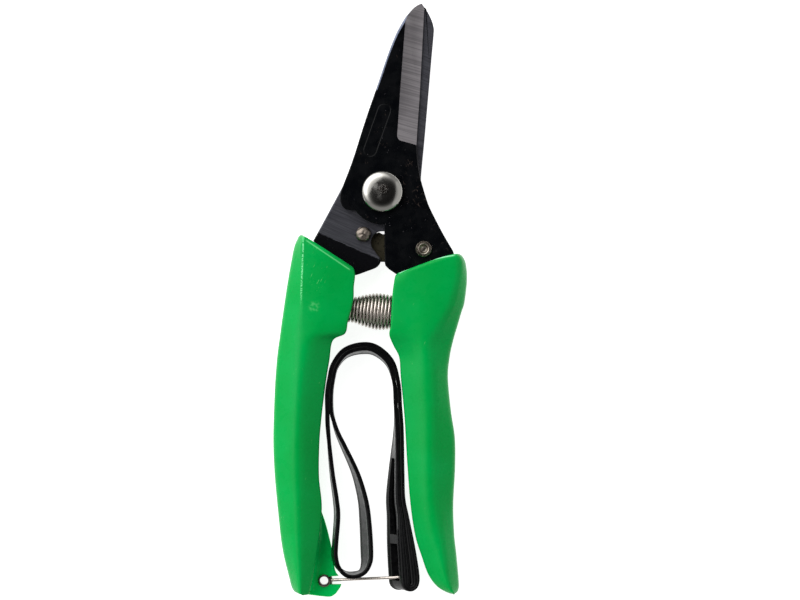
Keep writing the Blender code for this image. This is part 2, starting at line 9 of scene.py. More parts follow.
import bmesh
import bpy
import numpy as np
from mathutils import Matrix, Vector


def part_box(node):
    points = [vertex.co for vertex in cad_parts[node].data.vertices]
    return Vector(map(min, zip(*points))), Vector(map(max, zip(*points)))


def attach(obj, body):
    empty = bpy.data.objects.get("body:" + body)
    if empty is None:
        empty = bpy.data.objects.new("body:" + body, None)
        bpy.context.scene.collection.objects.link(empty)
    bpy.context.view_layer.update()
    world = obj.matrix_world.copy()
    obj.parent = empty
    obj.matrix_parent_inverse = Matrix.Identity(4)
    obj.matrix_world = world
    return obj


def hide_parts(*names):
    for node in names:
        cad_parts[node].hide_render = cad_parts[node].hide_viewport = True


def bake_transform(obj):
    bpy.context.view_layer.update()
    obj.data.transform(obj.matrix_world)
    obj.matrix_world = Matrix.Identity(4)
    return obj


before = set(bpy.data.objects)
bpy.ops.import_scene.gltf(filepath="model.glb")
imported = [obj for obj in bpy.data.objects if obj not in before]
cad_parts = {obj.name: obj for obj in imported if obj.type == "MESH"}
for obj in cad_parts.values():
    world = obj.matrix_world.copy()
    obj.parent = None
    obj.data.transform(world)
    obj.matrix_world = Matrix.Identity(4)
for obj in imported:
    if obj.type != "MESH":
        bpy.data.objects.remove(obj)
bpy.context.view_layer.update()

MM = 0.001
FULL = 2 * math.pi


# ---------------------------------------------------------------- places read from the frame

def middle(node):
    """The middle of a node's box."""
    low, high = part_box(node)
    return np.array([(low[i] + high[i]) / 2 / MM for i in range(3)])


def levels(node):
    """Lowest and highest height of a node."""
    low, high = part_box(node)
    return low[2] / MM, high[2] / MM


PIVOT = middle("pivot_bolt") * (1, 1, 0)
STOP_PIN = (middle("stop_pin") - PIVOT)[:2]
LEVER_RIVET = (middle("lever_rivet") - PIVOT)[:2]
EYELET = (middle("strap_eyelet") - PIVOT)[:2]
FRONT_LOW, FRONT_TOP = levels("front_blade")
REAR_LOW, REAR_TOP = levels("rear_blade")
HANDLE_TOP = levels("left_handle")[1]
MID = HANDLE_TOP / 2
HEAD_GAP = 0.3                          # what heads stand off the plate under them
TAB_LOW, TAB_TOP = 0.7, 3.3             # faces of the tab at the left handle's tail


# ---------------------------------------------------------------- surfaces as whole arrays

def quads(rows, columns, round_rows=False, round_columns=True):
    """Quads between neighbouring lines of a grid; a round direction meets itself again."""
    r, c = np.meshgrid(np.arange(rows if round_rows else rows - 1),
                       np.arange(columns if round_columns else columns - 1), indexing="ij")
    r_next, c_next = (r + 1) % rows, (c + 1) % columns
    corners = [r * columns + c, r * columns + c_next, r_next * columns + c_next,
               r_next * columns + c]
    return np.stack(corners, axis=-1).reshape(-1, 4)


def flowing(rows, at):
    """Rows of numbers read at the places `at`, counted in rows.

    Between two rows runs the cubic whose slope at each row is half the step from the row
    before it to the row after it.
    """
    rows = np.asarray(rows, float)
    slope = np.gradient(rows, axis=0)
    start = np.clip(at.astype(int), 0, len(rows) - 2)
    t = (at - start)[:, None]
    one, two = rows[start], rows[start + 1]
    leave, arrive = slope[start], slope[start + 1]
    return ((2 * t**3 - 3 * t**2 + 1) * one + (t**3 - 2 * t**2 + t) * leave
            + (3 * t**2 - 2 * t**3) * two + (t**3 - t**2) * arrive)


def curve(rows, per_span):
    """A smooth curve through rows of numbers, with `per_span` steps from row to row."""
    return flowing(rows, np.linspace(0, len(rows) - 1, (len(rows) - 1) * per_span + 1))


def ring_curve(rows, per_span):
    """The same curve through rows that come round to the first again."""
    rows = np.asarray(rows, float)
    wrapped = np.vstack([rows[-2:], rows, rows[:2]])
    return flowing(wrapped, 2 + np.arange(len(rows) * per_span) / per_span)


def arc(centre, radius, start, stop, count):
    """Points on a circle from `start` to `stop` degrees."""
    a = np.radians(np.linspace(start, stop, count))
    return np.column_stack([centre[0] + radius * np.cos(a), centre[1] + radius * np.sin(a)])


def eased(corners, setback, steps):
    """Rounds the corners of closed polygons, given as (..., corner, axis).

    Each corner becomes the parabola that leaves both of its edges at the setback, or at
    0.45 of the edge where the edge is short.
    """
    back = np.roll(corners, 1, axis=-2) - corners
    ahead = np.roll(corners, -1, axis=-2) - corners
    reach = np.broadcast_to(setback, corners.shape[:-1])[..., None]
    back_long = np.linalg.norm(back, axis=-1, keepdims=True)
    ahead_long = np.linalg.norm(ahead, axis=-1, keepdims=True)
    start = corners + back / back_long * np.minimum(reach, 0.45 * back_long)
    stop = corners + ahead / ahead_long * np.minimum(reach, 0.45 * ahead_long)
    t = np.linspace(0, 1, steps)[:, None]
    one, mid, two = (p[..., None, :] for p in (start, corners, stop))
    bent = (1 - t)**2 * one + 2 * t * (1 - t) * mid + t**2 * two
    return bent.reshape(*corners.shape[:-2], -1, corners.shape[-1])


def inset(loops, distance):
    """Moves closed anticlockwise loops (..., point, 2) inward, each point along its mitre."""
    run = np.roll(loops, -1, axis=-2) - loops
    run /= np.maximum(np.linalg.norm(run, axis=-1, keepdims=True), 1e-9)
    after = np.stack([-run[..., 1], run[..., 0]], axis=-1)
    before = np.roll(after, 1, axis=-2)
    open_by = 1 + np.sum(before * after, axis=-1, keepdims=True)
    return loops + (before + after) / np.maximum(open_by, 0.35) * distance


def turned(profile, centre, segments=64, closed=False):
    """A profile of (radius, height) turned about an upright axis, a circle for each point."""
    radius, height = np.asarray(profile, float).T[:, :, None]
    a = np.linspace(0, FULL, segments, endpoint=False)
    points = np.stack([centre[0] + radius * np.cos(a), centre[1] + radius * np.sin(a),
                       height + 0 * a], axis=-1)
    return points, quads(len(profile), segments, round_rows=closed)


def plate(outline, low, top, ease=0.3, steps=4):
    """A flat plate: an edge profile carried round an anticlockwise outline.

    The profile rises from the back face through a quarter round, the wall and a second
    quarter round to the front face. A narrow flat band follows it on both faces. `ease` is
    the quarters' radius, one number or one for each point of the outline.
    """
    outline = np.asarray(outline, float)
    ease = np.broadcast_to(ease, len(outline))
    turn = np.linspace(0, math.pi / 2, steps)[:, None]
    depth = np.vstack([ease + 0.15, ease * (1 - np.sin(turn)),
                       ease * (1 - np.cos(turn)), ease + 0.15])
    height = np.vstack([0 * ease + low, low + ease * (1 - np.cos(turn)),
                        top - ease * (1 - np.sin(turn)), 0 * ease + top])
    rings = inset(np.broadcast_to(outline, (len(depth), *outline.shape)), depth[..., None])
    points = np.concatenate([rings, height[..., None]], axis=-1)
    return points, quads(*points.shape[:2])


def wire(path, radius, sides=16, closed=False):
    """A round wire: at each point of the path a circle square to the path's direction."""
    path = np.asarray(path, float)
    if closed:
        run = np.roll(path, -1, axis=0) - np.roll(path, 1, axis=0)
    else:
        run = np.gradient(path, axis=0)
    run /= np.linalg.norm(run, axis=1)[:, None]
    side = np.cross(run, (0, 0, 1))
    upright = np.linalg.norm(side, axis=1) < 0.2
    side[upright] = (0, 1, 0)
    side /= np.linalg.norm(side, axis=1)[:, None]
    up = np.cross(side, run)
    a = np.linspace(0, FULL, sides, endpoint=False)[:, None]
    radius = np.broadcast_to(radius, len(path))[:, None, None]
    points = path[:, None] + radius * (np.cos(a) * side[:, None] + np.sin(a) * up[:, None])
    return points, quads(*points.shape[:2], round_rows=closed)


class Skin:
    """Gathers surfaces for one piece, then makes, cuts and dresses its mesh."""

    def __init__(self, name):
        self.name = name
        self.points, self.faces, self.dress = [], [], []
        self.count = 0

    def add(self, surface, finish=0, caps=False):
        """Adds a (points, faces) surface; `caps` closes its first and last line.

        In the second case the caps take the list's first.
        """
        points, faces = surface
        width = np.asarray(points).shape[1]
        points = np.asarray(points, float).reshape(-1, 3)
        faces = (np.asarray(faces) + self.count).tolist()
        self.dress += np.broadcast_to(finish, len(faces)).tolist()
        if caps:
            self.dress += 2 * [finish if np.ndim(finish) == 0 else 0]
            first = np.arange(width) + self.count
            last = first + len(points) - width
            faces += [first[::-1].tolist(), last.tolist()]
        self.points.append(points)
        self.faces += faces
        self.count += len(points)
        return self

    def mesh(self, finishes):
        """The gathered surfaces as one mesh in its own place, its faces turned outward."""
        made = bpy.data.meshes.new(self.name)
        places = (np.vstack(self.points) + PIVOT) * MM
        made.from_pydata(places.tolist(), [], self.faces)
        for finish in finishes:
            made.materials.append(finish)
        made.polygons.foreach_set("material_index", self.dress)
        work = bmesh.new()
        work.from_mesh(made)
        bmesh.ops.remove_doubles(work, verts=work.verts, dist=0.002 * MM)
        bmesh.ops.recalc_face_normals(work, faces=work.faces)
        work.to_mesh(made)
        work.free()
        return made

    def finish(self, finishes, cutters=(), sharp=32, joined=()):
        """Makes the object, adds the closed `joined` skins, takes out the closed cutters.

        It is shaded smooth, with hard edges where two faces turn by more than `sharp` degrees.
        """
        made = bpy.data.objects.new(self.name, self.mesh(finishes))
        bpy.context.scene.collection.objects.link(made)
        tools = [(skin, "UNION") for skin in joined] + [(skin, "DIFFERENCE") for skin in cutters]
        for skin, operation in tools:
            tool = bpy.data.objects.new(skin.name, skin.mesh(finishes))
            bpy.context.scene.collection.objects.link(tool)
            step = made.modifiers.new(operation, "BOOLEAN")
            step.operation, step.solver, step.object = operation, "MANIFOLD", tool
            view = bpy.context.evaluated_depsgraph_get()
            cut = bpy.data.meshes.new_from_object(made.evaluated_get(view))
            made.modifiers.clear()
            made.data = cut
            bpy.data.objects.remove(tool)
        made.data.shade_smooth()
        made.data.set_sharp_from_angle(angle=math.radians(sharp))
        return made


def dressed(piece, body, slot, *nodes):
    """Says which body the piece rides on and which nodes it stands for; `slot` is not used."""
    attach(piece, body)
    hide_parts(*nodes)
    return piece


# ---------------------------------------------------------------- finishes

def tint(red, green, blue):
    """A colour as the eye reads it, 0 to 255, turned into light."""
    share = np.array([red, green, blue]) / 255
    return tuple(np.where(share < 0.04045, share / 12.92, ((share + 0.055) / 1.055)**2.4))


class Finish:
    """One material and the few node calls that the finishes below share."""

    def __init__(self, name, colour, roughness, metallic=0.0, specular=0.5):
        self.material = bpy.data.materials.new(name)
        self.material.use_nodes = True
        self.nodes = self.material.node_tree.nodes
        self.shader = self.nodes["Principled BSDF"]
        self.set(self.shader, "Base Color", (*colour, 1))
        self.set(self.shader, "Roughness", roughness)
        self.set(self.shader, "Metallic", metallic)
        self.set(self.shader, "Specular IOR Level", specular)
        self.place = self.nodes.new("ShaderNodeTexCoord").outputs["Object"]

    def set(self, node, socket, value):
        """Links a socket to `value`, or stores a plain value in it."""
        if isinstance(value, bpy.types.NodeSocket):
            self.material.node_tree.links.new(value, node.inputs[socket])
        else:
            node.inputs[socket].default_value = value

    def wear(self, **values):
        """Sets the shader's own sockets, written with _ for a space."""
        for socket, value in values.items():
            self.set(self.shader, socket.replace("_", " "), value)
        return self

    def calc(self, operation, one, two=0.0):
        """One sum on two values."""
        node = self.nodes.new("ShaderNodeMath")
        node.operation = operation
        self.set(node, 0, one)
        self.set(node, 1, two)
        return node.outputs[0]

    def turned_place(self, stretch=(1, 1, 1), turn=0.0):
        """Places on the piece, drawn out by `stretch` along axes turned by `turn` degrees."""
        node = self.nodes.new("ShaderNodeMapping")
        node.vector_type = "TEXTURE"
        self.set(node, "Vector", self.place)
        self.set(node, "Scale", stretch)
        self.set(node, "Rotation", (0, 0, math.radians(turn)))
        return node.outputs[0]

    def noise(self, size, detail=2.0, stretch=(1, 1, 1), turn=0.0):
        """Clouds about `size` millimetres across, drawn out by `stretch`."""
        node = self.nodes.new("ShaderNodeTexNoise")
        self.set(node, "Vector", self.turned_place(stretch, turn))
        self.set(node, "Scale", 1 / (size * MM))
        self.set(node, "Detail", detail)
        return node.outputs["Fac"]

    def cells(self, size):
        """Distance to the nearest of scattered points about `size` millimetres apart."""
        node = self.nodes.new("ShaderNodeTexVoronoi")
        self.set(node, "Vector", self.turned_place())
        self.set(node, "Scale", 1 / (size * MM))
        return node.outputs["Distance"]

    def span(self, value, start, stop, low=0.0, high=1.0):
        """Runs from `low` to `high` while the value runs from `start` to `stop`."""
        node = self.nodes.new("ShaderNodeMapRange")
        node.interpolation_type = "SMOOTHSTEP"
        for socket, number in zip(("Value", "From Min", "From Max", "To Min", "To Max"),
                                  (value, start, stop, low, high)):
            self.set(node, socket, number)
        return node.outputs[0]

    def mix(self, share, one, two):
        """Goes from colour `one` to colour `two` as the share goes from 0 to 1."""
        node = self.nodes.new("ShaderNodeMix")
        node.data_type = "RGBA"
        self.set(node, 0, share)
        for socket, colour in ((6, one), (7, two)):
            self.set(node, socket, colour if isinstance(colour, bpy.types.NodeSocket)
                     else (*colour, 1))
        return node.outputs[2]

    def bump(self, height, depth, after=None):
        """Relief `depth` millimetres deep."""
        node = self.nodes.new("ShaderNodeBump")
        self.set(node, "Height", height)
        self.set(node, "Distance", depth * MM)
        self.set(node, "Strength", 1.0)
        if after:
            self.set(node, "Normal", after)
        return node.outputs[0]

    def near(self, spot, start, stop):
        """Runs from 0 to 1 while the distance in plan to `spot` falls from start to stop."""
        flat = self.nodes.new("ShaderNodeVectorMath")
        flat.operation = "MULTIPLY"
        self.set(flat, 0, self.place)
        self.set(flat, 1, (1 / MM, 1 / MM, 0))
        gap = self.nodes.new("ShaderNodeVectorMath")
        gap.operation = "DISTANCE"
        self.set(gap, 0, flat.outputs[0])
        self.set(gap, 1, (spot[0] + PIVOT[0], spot[1] + PIVOT[1], 0))
        return self.span(gap.outputs["Value"], stop, start, 1.0, 0.0)

    def across(self, one, two):
        """Millimetres to the left of the line from plan position `one` to `two`."""
        run = np.subtract(two, one) / np.linalg.norm(np.subtract(two, one))
        left = np.array([-run[1], run[0]])
        node = self.nodes.new("ShaderNodeVectorMath")
        node.operation = "DOT_PRODUCT"
        self.set(node, 0, self.place)
        self.set(node, 1, (left[0] / MM, left[1] / MM, 0))
        return self.calc("SUBTRACT", node.outputs["Value"],
                         float(left @ (np.array(one) + PIVOT[:2])))


def coated_steel():
    """Black baked coat: fine bright specks, hair scratches and warm rubbed patches."""
    f = Finish("coated_steel", tint(8, 9, 12), 0.3, specular=0.1)
    base = f.mix(f.span(f.noise(6, 4), 0.35, 0.7), tint(3, 4, 6), tint(5, 6, 8))
    speck = f.span(f.cells(0.9), 0.10, 0.04)
    rare = f.span(f.noise(3.5, 1), 0.52, 0.6)
    base = f.mix(f.calc("MULTIPLY", speck, rare), base, tint(120, 115, 120))
    hair = f.span(f.noise(0.16, 1, (1, 14, 1), 24), 0.69, 0.76)
    cross = f.span(f.noise(0.15, 1, (12, 1, 1), 35), 0.70, 0.77)
    rub = f.calc("MAXIMUM", f.span(f.noise(4, 3), 0.55, 0.75), f.near((12.0, -1.0), 7.0, 1.0))
    base = f.mix(f.calc("MULTIPLY", f.calc("MAXIMUM", hair, cross), rub), base,
                 tint(84, 72, 66))
    grain = f.noise(0.25, 3)
    f.wear(Base_Color=base, Roughness=f.span(f.noise(3, 3), 0.3, 0.7, 0.22, 0.34),
           Normal=f.bump(grain, 0.006))
    return f.material


def bevel_steel():
    """Freshly ground bevel: light grey with fine marks across the blade."""
    f = Finish("ground_bevel", tint(120, 116, 120), 0.38, 1.0)
    marks = f.noise(0.5, 1, (50, 1, 50), -15)
    broad = f.noise(1.6, 1, (20, 1, 20), -15)
    base = f.mix(f.span(marks, 0.35, 0.65), tint(134, 130, 133), tint(162, 157, 160))
    base = f.mix(f.span(broad, 0.4, 0.7, 0, 0.4), base, tint(136, 132, 136))
    f.wear(Base_Color=base, Normal=f.bump(marks, 0.006))
    return f.material


def ground_steel():
    """Rear plate: dark satin ground face, with the black coat left below a slanting line."""
    f = Finish("ground_steel", tint(66, 66, 72), 0.42, 0.85, specular=0.2)
    marks = f.noise(0.18, 3, (50, 1, 1), -24)
    broad = f.noise(2.0, 2, (6, 1, 1), -24)
    bare = f.mix(f.span(marks, 0.3, 0.7), tint(64, 64, 70), tint(84, 84, 90))
    bare = f.mix(f.span(broad, 0.4, 0.75, 0, 0.4), bare, tint(54, 54, 60))
    border = f.across((-20.6, -13.0), (-2.3, -21.1))
    wander = f.calc("ADD", border, f.span(f.noise(0.8, 2), 0.3, 0.7, -0.12, 0.12))
    clean = f.span(wander, -0.12, 0.12)
    speck = f.span(f.cells(0.8), 0.09, 0.04)
    coat = f.mix(f.calc("MULTIPLY", speck, f.span(f.noise(3, 1), 0.5, 0.6)),
                 tint(6, 6, 9), tint(90, 88, 90))
    satin = f.calc("MULTIPLY", clean, f.span(marks, 0.3, 0.7, 0.12, 0.26))
    f.wear(Base_Color=f.mix(clean, coat, bare), Metallic=f.span(clean, 0, 1, 0.0, 0.9),
           Roughness=f.calc("ADD", satin, 0.24), Normal=f.bump(marks, 0.008))
    return f.material


def bright_steel(name, colour, roughness, grain, depth):
    """Plated or drawn steel with a faint uneven surface and small dull spots."""
    f = Finish(name, colour, roughness, 1.0)
    clouds = f.noise(grain, 3)
    dull = f.span(f.noise(grain * 0.5, 4), 0.55, 0.72)
    darker = tuple(0.3 * c for c in colour)
    f.wear(Base_Color=f.mix(dull, colour, darker),
           Roughness=f.span(clouds, 0.3, 0.75, roughness, roughness + 0.2),
           Normal=f.bump(clouds, depth))
    return f.material


def polished_head():
    """Polished pivot head: fine wipe marks, and a rough worn spot in its middle."""
    steel = tint(168, 166, 161)
    f = Finish("polished_steel", steel, 0.14, 1.0)
    worn = f.near((0.5, 0.6), 2.1, 1.1)
    around = f.near((-1.2, 0.9), 4.6, 2.0)
    pits = f.noise(0.28, 3)
    smear = f.noise(2.6, 4)
    spots = f.calc("MULTIPLY", f.span(pits, 0.46, 0.56), worn)
    haze = f.calc("MULTIPLY", f.span(smear, 0.45, 0.7), around)
    base = f.mix(spots, steel, tint(92, 80, 72))
    wipe = f.bump(f.noise(0.35, 2, (8, 1, 1), 30), 0.002)
    f.wear(Base_Color=base, Roughness=f.calc("ADD", 0.13, f.calc("MULTIPLY", haze, 0.16)),
           Normal=f.bump(f.calc("MULTIPLY", pits, worn), 0.06, wipe))
    return f.material


def green_plastic(name, deep, light):
    """Moulded green plastic: satin skin, faint flow clouds, short pale scuffs.

    The rest sits in one place each, in plan: a worn dent on the left handle's shoulder, a
    painted highlight line along the top edge of each handle's mouth, and a broken pale line
    on the ridge near the left handle's top, part wear and part painted highlight.
    """
    f = Finish(name, deep, 0.28, specular=0.08)
    base = f.mix(f.span(f.noise(14, 3), 0.3, 0.7), deep, light)
    # Scuffs: slanting streaks, kept where soft clouds or the left shoulder allow them
    scuff = f.span(f.noise(0.3, 2, (1, 7, 1), -28), 0.66, 0.74)
    patch = f.calc("MAXIMUM", f.span(f.noise(5, 3), 0.56, 0.72), f.near((-19.5, -28.0), 8, 3))
    base = f.mix(f.calc("MULTIPLY", f.calc("MULTIPLY", scuff, patch), 0.4), base,
                 tint(120, 210, 130))
    dent = f.calc("MULTIPLY", f.near((-21.6, -36.6), 2.2, 1.3),
                  f.span(f.noise(1.5, 3), 0.4, 0.65))
    base = f.mix(f.calc("MULTIPLY", dent, 0.25), base, tint(120, 215, 140))
    # Painted highlight lines along the handles' top edges: the left one is a straight line, the
    # right one a thin ring about a far centre
    lip_highlight = f.calc("ABSOLUTE", f.across((-10.3, -25.0), (-24.4, -15.5)))
    lip_highlight = f.calc("MULTIPLY", f.span(lip_highlight, 0.3, 0.1), f.near((-17.3, -20.3), 8.8, 7.8))
    # The right painted highlight follows a circle through three points of that top edge
    centre, reach = (28.9, -68.8), 48.74
    bent = f.calc("SUBTRACT", f.near(centre, reach + 0.25, reach + 0.1),
                  f.near(centre, reach - 0.1, reach - 0.25))
    bent = f.calc("MULTIPLY", bent, f.near((14.0, -22.6), 9.8, 8.6))
    # Both lines are painted highlights in pale green
    base = f.mix(f.calc("MULTIPLY", lip_highlight, 0.45), base, tint(120, 225, 150))
    base = f.mix(f.calc("MULTIPLY", bent, 0.65), base, tint(160, 235, 190))
    # A broken pale line on the left handle's outer ridge: part wear, part painted highlight of the
    # ridge catching the light
    ridge = f.calc("ABSOLUTE", f.across((-25.95, -36.0), (-25.1, -15.0)))
    ridge_wear_and_highlight = f.calc("MULTIPLY", f.span(f.noise(0.35, 3), 0.42, 0.58),
                   f.near((-25.5, -24.0), 13.0, 7.0))
    base = f.mix(f.calc("MULTIPLY", f.span(ridge, 0.38, 0.10), ridge_wear_and_highlight), base,
                 tint(120, 214, 150))
    skin = f.bump(f.noise(0.5, 3), 0.012)
    waves = f.bump(f.noise(4.5, 2), 0.06, skin)
    f.wear(Base_Color=base, Roughness=f.span(f.noise(2.5, 4), 0.3, 0.7, 0.24, 0.36),
           Normal=waves)
    return f.material


def black_rubber():
    """Black rubber band: satin, with slightly greyer rubbed patches."""
    f = Finish("black_rubber", tint(8, 8, 9), 0.35, specular=0.14)
    worn = f.span(f.noise(3, 4), 0.5, 0.75)
    f.wear(Base_Color=f.mix(worn, tint(4, 4, 5), tint(8, 8, 9)),
           Roughness=f.span(f.noise(1.5, 3), 0.3, 0.7, 0.26, 0.38),
           Normal=f.bump(f.noise(0.35, 3), 0.012))
    return f.material


coated = coated_steel()
bevel = bevel_steel()
ground = ground_steel()
chrome = polished_head()
zinc = bright_steel("zinc_steel", tint(116, 108, 100), 0.26, 0.7, 0.07)
rolled = bright_steel("rolled_steel", tint(138, 131, 121), 0.2, 0.9, 0.01)
drawn = bright_steel("drawn_wire", tint(178, 170, 162), 0.12, 0.6, 0.01)
sheared_rim = bright_steel("sheared_steel", tint(96, 102, 118), 0.4, 0.4, 0.05)
olive = bright_steel("lever_steel", tint(66, 62, 50), 0.45, 1.2, 0.015)
green = green_plastic("green_plastic", tint(0, 145, 60), tint(0, 151, 67))
# A lighter copy of the same green for the tab and its fillet: painted light that lifts the shade
# they lie in, deep between the handle and the strap
shade_lifted_green = green_plastic("thin_green_plastic", tint(0, 196, 88), tint(0, 204, 96))
rubber = black_rubber()


# ---------------------------------------------------------------- blades

def front_blade():
    """Long blade and its tang, with the ground bevel and the engraved obround.

    The back edge, which the outline starts with at the tip, is rounded more than the rest.
    Its wall, upper round and narrow flat band are left as sheared, without the coat.
    """
    left = curve([(12.6, 60.25), (11.3, 59.65), (9.9, 58.6), (7.7, 56.1), (6.0, 53.4), (4.0, 49.5),
                  (1.6, 43.3), (-1.3, 34.7), (-5.4, 22.9), (-9.4, 10.3), (-12.5, 2.1)], 5)
    lobe = curve([(-13.1, 0.6), (-13.5, -0.8), (-13.5, -2.9), (-12.75, -4.7), (-11.4, -5.7),
                  (-9.3, -6.0)], 4)
    relief = arc((0, 0), 10.5, 214, 273.5, 24)
    tang = [(0.73, -22.4), (0.95, -23.6), (2.0, -24.7), (4.3, -26.3), (7.0, -27.5),
            (9.0, -34.0), (15.0, -34.0), (20.4, -25.0), (22.3, -22.0), (22.9, -19.9)]
    right = curve([(22.6, -18.9), (19.7, -14.0), (16.6, -8.1), (14.6, -3.8), (12.9, 1.7),
                   (12.0, 5.2), (11.3, 9.8), (11.0, 13.6)], 5)
    edge = curve([(10.9, 14.9), (11.3, 21.5), (11.9, 30.0), (12.7, 45.0), (13.35, 57.8),
                  (13.3, 59.2)], 5)
    outline = np.vstack([left, lobe, relief, tang, right, edge])
    ease = np.interp(np.arange(len(outline)), [0, 8, 14, 24, 39], [0.3, 0.7, 0.7, 0.5, 0.28])
    points, faces = plate(outline, FRONT_LOW, FRONT_TOP, ease)
    wall_to_face, back_edge = slice(4, 9), slice(3, 36)
    finish = np.zeros((len(points) - 1, points.shape[1]), int)
    finish[wall_to_face, back_edge] = 2
    body = Skin("front_blade").add((points, faces), finish.ravel(), caps=True)
    return dressed(body.finish([coated, bevel, sheared_rim], [front_bevel(), engraving()]),
                   "front_half", "coated_steel", "front_blade")


def front_bevel():
    """A wedge over the ground face: square to it the cut deepens steadily to the edge.

    Each row of the grid is one place along the blade and holds the cut's back border and
    its edge, both at the cut and high above it. The heel's rows swing round its corner.
    The slope is what the cut falls by, all but the edge's thickness, over the distance from
    the border's straight line to the plate's edge at that height of the blade.
    """
    edge_thick = 0.55
    heel = arc((6.55, 17.95), 1.8, 262, 180, 8)
    border = np.vstack([[(11.4, 14.7), (8.6, 15.55)], heel, [(5.6, 30.6), (7.9, 61.5)]])
    reach = np.array([[16.4, 13.1]] * 3 + [[16.4, 14.2]] * (len(heel) - 1)
                     + [[17.6, 30.0], [19.4, 61.5]])
    line_x = 4.7 + (border[:, 1] - 18.0) * (3.2 / 43.5)
    edge_x = 11.1 + (border[:, 1] - 14.7) * (2.35 / 46.8)
    slope = (FRONT_TOP - FRONT_LOW - edge_thick) / (edge_x - line_x)
    near = FRONT_TOP - slope * np.maximum(border[:, 0] - line_x, 0)
    far = FRONT_TOP - slope * (reach[:, 0] - line_x)
    over = np.full(len(border), FRONT_TOP + 3)
    rows = np.stack([np.column_stack([border, near]), np.column_stack([border, over]),
                     np.column_stack([reach, over]), np.column_stack([reach, far])], axis=1)
    return Skin("bevel_tool").add((rows, quads(*rows.shape[:2])), 1, caps=True)


def engraving():
    """A closed obround line 0.45 wide, sunk a little into the plate along its left edge."""
    middle_at, turn, half, radius = (-1.7, 19.7), math.radians(70.5), 6.7, 2.05
    a = np.linspace(0, FULL, 64, endpoint=False)
    x = np.sign(np.cos(a)) * half + radius * np.cos(a)
    y = radius * np.sin(a)
    path = np.column_stack([middle_at[0] + x * math.cos(turn) - y * math.sin(turn),
                            middle_at[1] + x * math.sin(turn) + y * math.cos(turn),
                            np.full(len(a), FRONT_TOP + 0.10)])
    return Skin("engraving_tool").add(wire(path, 0.24, 8, closed=True))


def rear_blade():
    """Lower blade with the round notch below the pivot and the tang in the left handle."""
    left = curve([(13.6, 58.6), (12.4, 56.8), (10.6, 52.8), (8.4, 46.0), (3.4, 28.0), (-3.0, 13.0),
                  (-12.0, 2.9)], 4)
    shoulder = curve([(-12.9, 1.4), (-17.2, -6.6), (-22.1, -15.6)], 3)
    tang = [(-20.6, -18.6), (-22.5, -28.0), (-16.0, -30.0), (-12.6, -25.6), (-11.0, -24.6),
            (-9.6, -25.4), (-8.8, -26.75)]
    foot = curve([(-7.2, -26.3), (-4.8, -25.4), (-2.4, -24.5), (-1.2, -23.6), (-0.55, -22.4),
                  (-0.75, -21.2), (-1.6, -20.2)], 3)
    notch = arc((-0.05, -16.2), 3.6, 229, 83, 22)
    right = curve([(3.5, -12.0), (6.4, -10.6), (10.6, -6.5), (12.3, 0.0), (12.4, 5.0), (13.4, 15.6),
                   (14.6, 29.4), (15.8, 43.3), (16.5, 51.0), (16.4, 52.8), (15.9, 54.7),
                   (15.0, 56.7), (14.2, 58.1), (13.3, 59.3)], 4)
    body = Skin("rear_blade").add(
        plate(np.vstack([left, shoulder, tang, foot, notch, right]), REAR_LOW, REAR_TOP, 0.3),
        caps=True)
    return dressed(body.finish([ground, bevel], [rear_bevel()]),
                   "rear_half", "ground_steel", "rear_blade")


def rear_bevel():
    """A wedge under the rear plate's left edge, from its back border up to the edge.

    It runs on past the edge by one and a half times its own width, and rises steadily.
    """
    beyond, edge_thick = 1.5, 0.5
    edge = np.array([(12.6, 60.0), (8.2, 46.6), (3.2, 27.4)])
    border = np.array([(17.6, 57.8), (13.2, 45.6), (8.0, 26.2)])
    out = edge + beyond * (edge - border)
    low, deep = REAR_LOW, REAR_LOW - 3
    rise = (REAR_TOP - edge_thick - REAR_LOW) * (1 + beyond)
    rows = np.stack([np.column_stack([border, np.full(3, low)]),
                     np.column_stack([border, np.full(3, deep)]),
                     np.column_stack([out, np.full(3, deep)]),
                     np.column_stack([out, np.full(3, low + rise)])], axis=1)
    return Skin("rear_bevel_tool").add((rows, quads(*rows.shape[:2])), 1, caps=True)


# ---------------------------------------------------------------- turned and stamped hardware

def quarter(radius, rise, low, steps=8, power=2.0):
    """The rim-to-crown profile of a dome: a quarter of an ellipse.

    A power above 2 keeps the crown flatter and turns it down more sharply near the rim.
    """
    a = np.linspace(0, math.pi / 2, steps)
    across, up = np.cos(a).clip(0)**(2 / power), np.sin(a)**(2 / power)
    return list(zip(radius * across, low + rise * up))


def pivot_bolt():
    """Shank and a low polished head: flat in its middle, turned down near its rim."""
    low, top = levels("pivot_bolt")
    seat = FRONT_TOP + HEAD_GAP
    rim = 0.45
    profile = [(0, low), (2.7, low), (3.0, low + 0.3), (3.0, seat), (6.45, seat),
               (6.6, seat + 0.12)]
    profile += quarter(6.6, top - seat - rim, seat + rim, 30, 3.2)
    skin = Skin("pivot_bolt").add(turned(profile, (0, 0), 96))
    return dressed(skin.finish([chrome]), "rear_half", "polished_steel", "pivot_bolt")


def ring_piece(node, body, slot, finish, centre, inner, outer, ease=0.12):
    """A washer or collar: a rectangle with eased corners turned round its bore."""
    low, top = levels(node)
    corners = np.array([(inner, low), (outer, low), (outer, top), (inner, top)])
    profile = eased(corners, ease, 4)
    skin = Skin(node).add(turned(profile, centre, 64, closed=True))
    return dressed(skin.finish([finish]), body, slot, node)


def pivot_nut():
    """Hexagon nut with chamfered corners round a plain bore."""
    low, top = levels("pivot_nut")
    flats = 9.5
    hexagon = eased(arc((0, 0), flats / math.sqrt(3), 0, 300, 6), 0.5, 3)
    skin = Skin("pivot_nut").add(plate(hexagon, low, top, 0.25, 4), caps=True)
    bore = Skin("nut_bore_tool").add(turned([(0, low - 1), (3.3, low - 1), (3.3, top + 1),
                                             (0, top + 1)], (0, 0), 48))
    return dressed(skin.finish([zinc], [bore]), "rear_half", "zinc_steel", "pivot_nut")


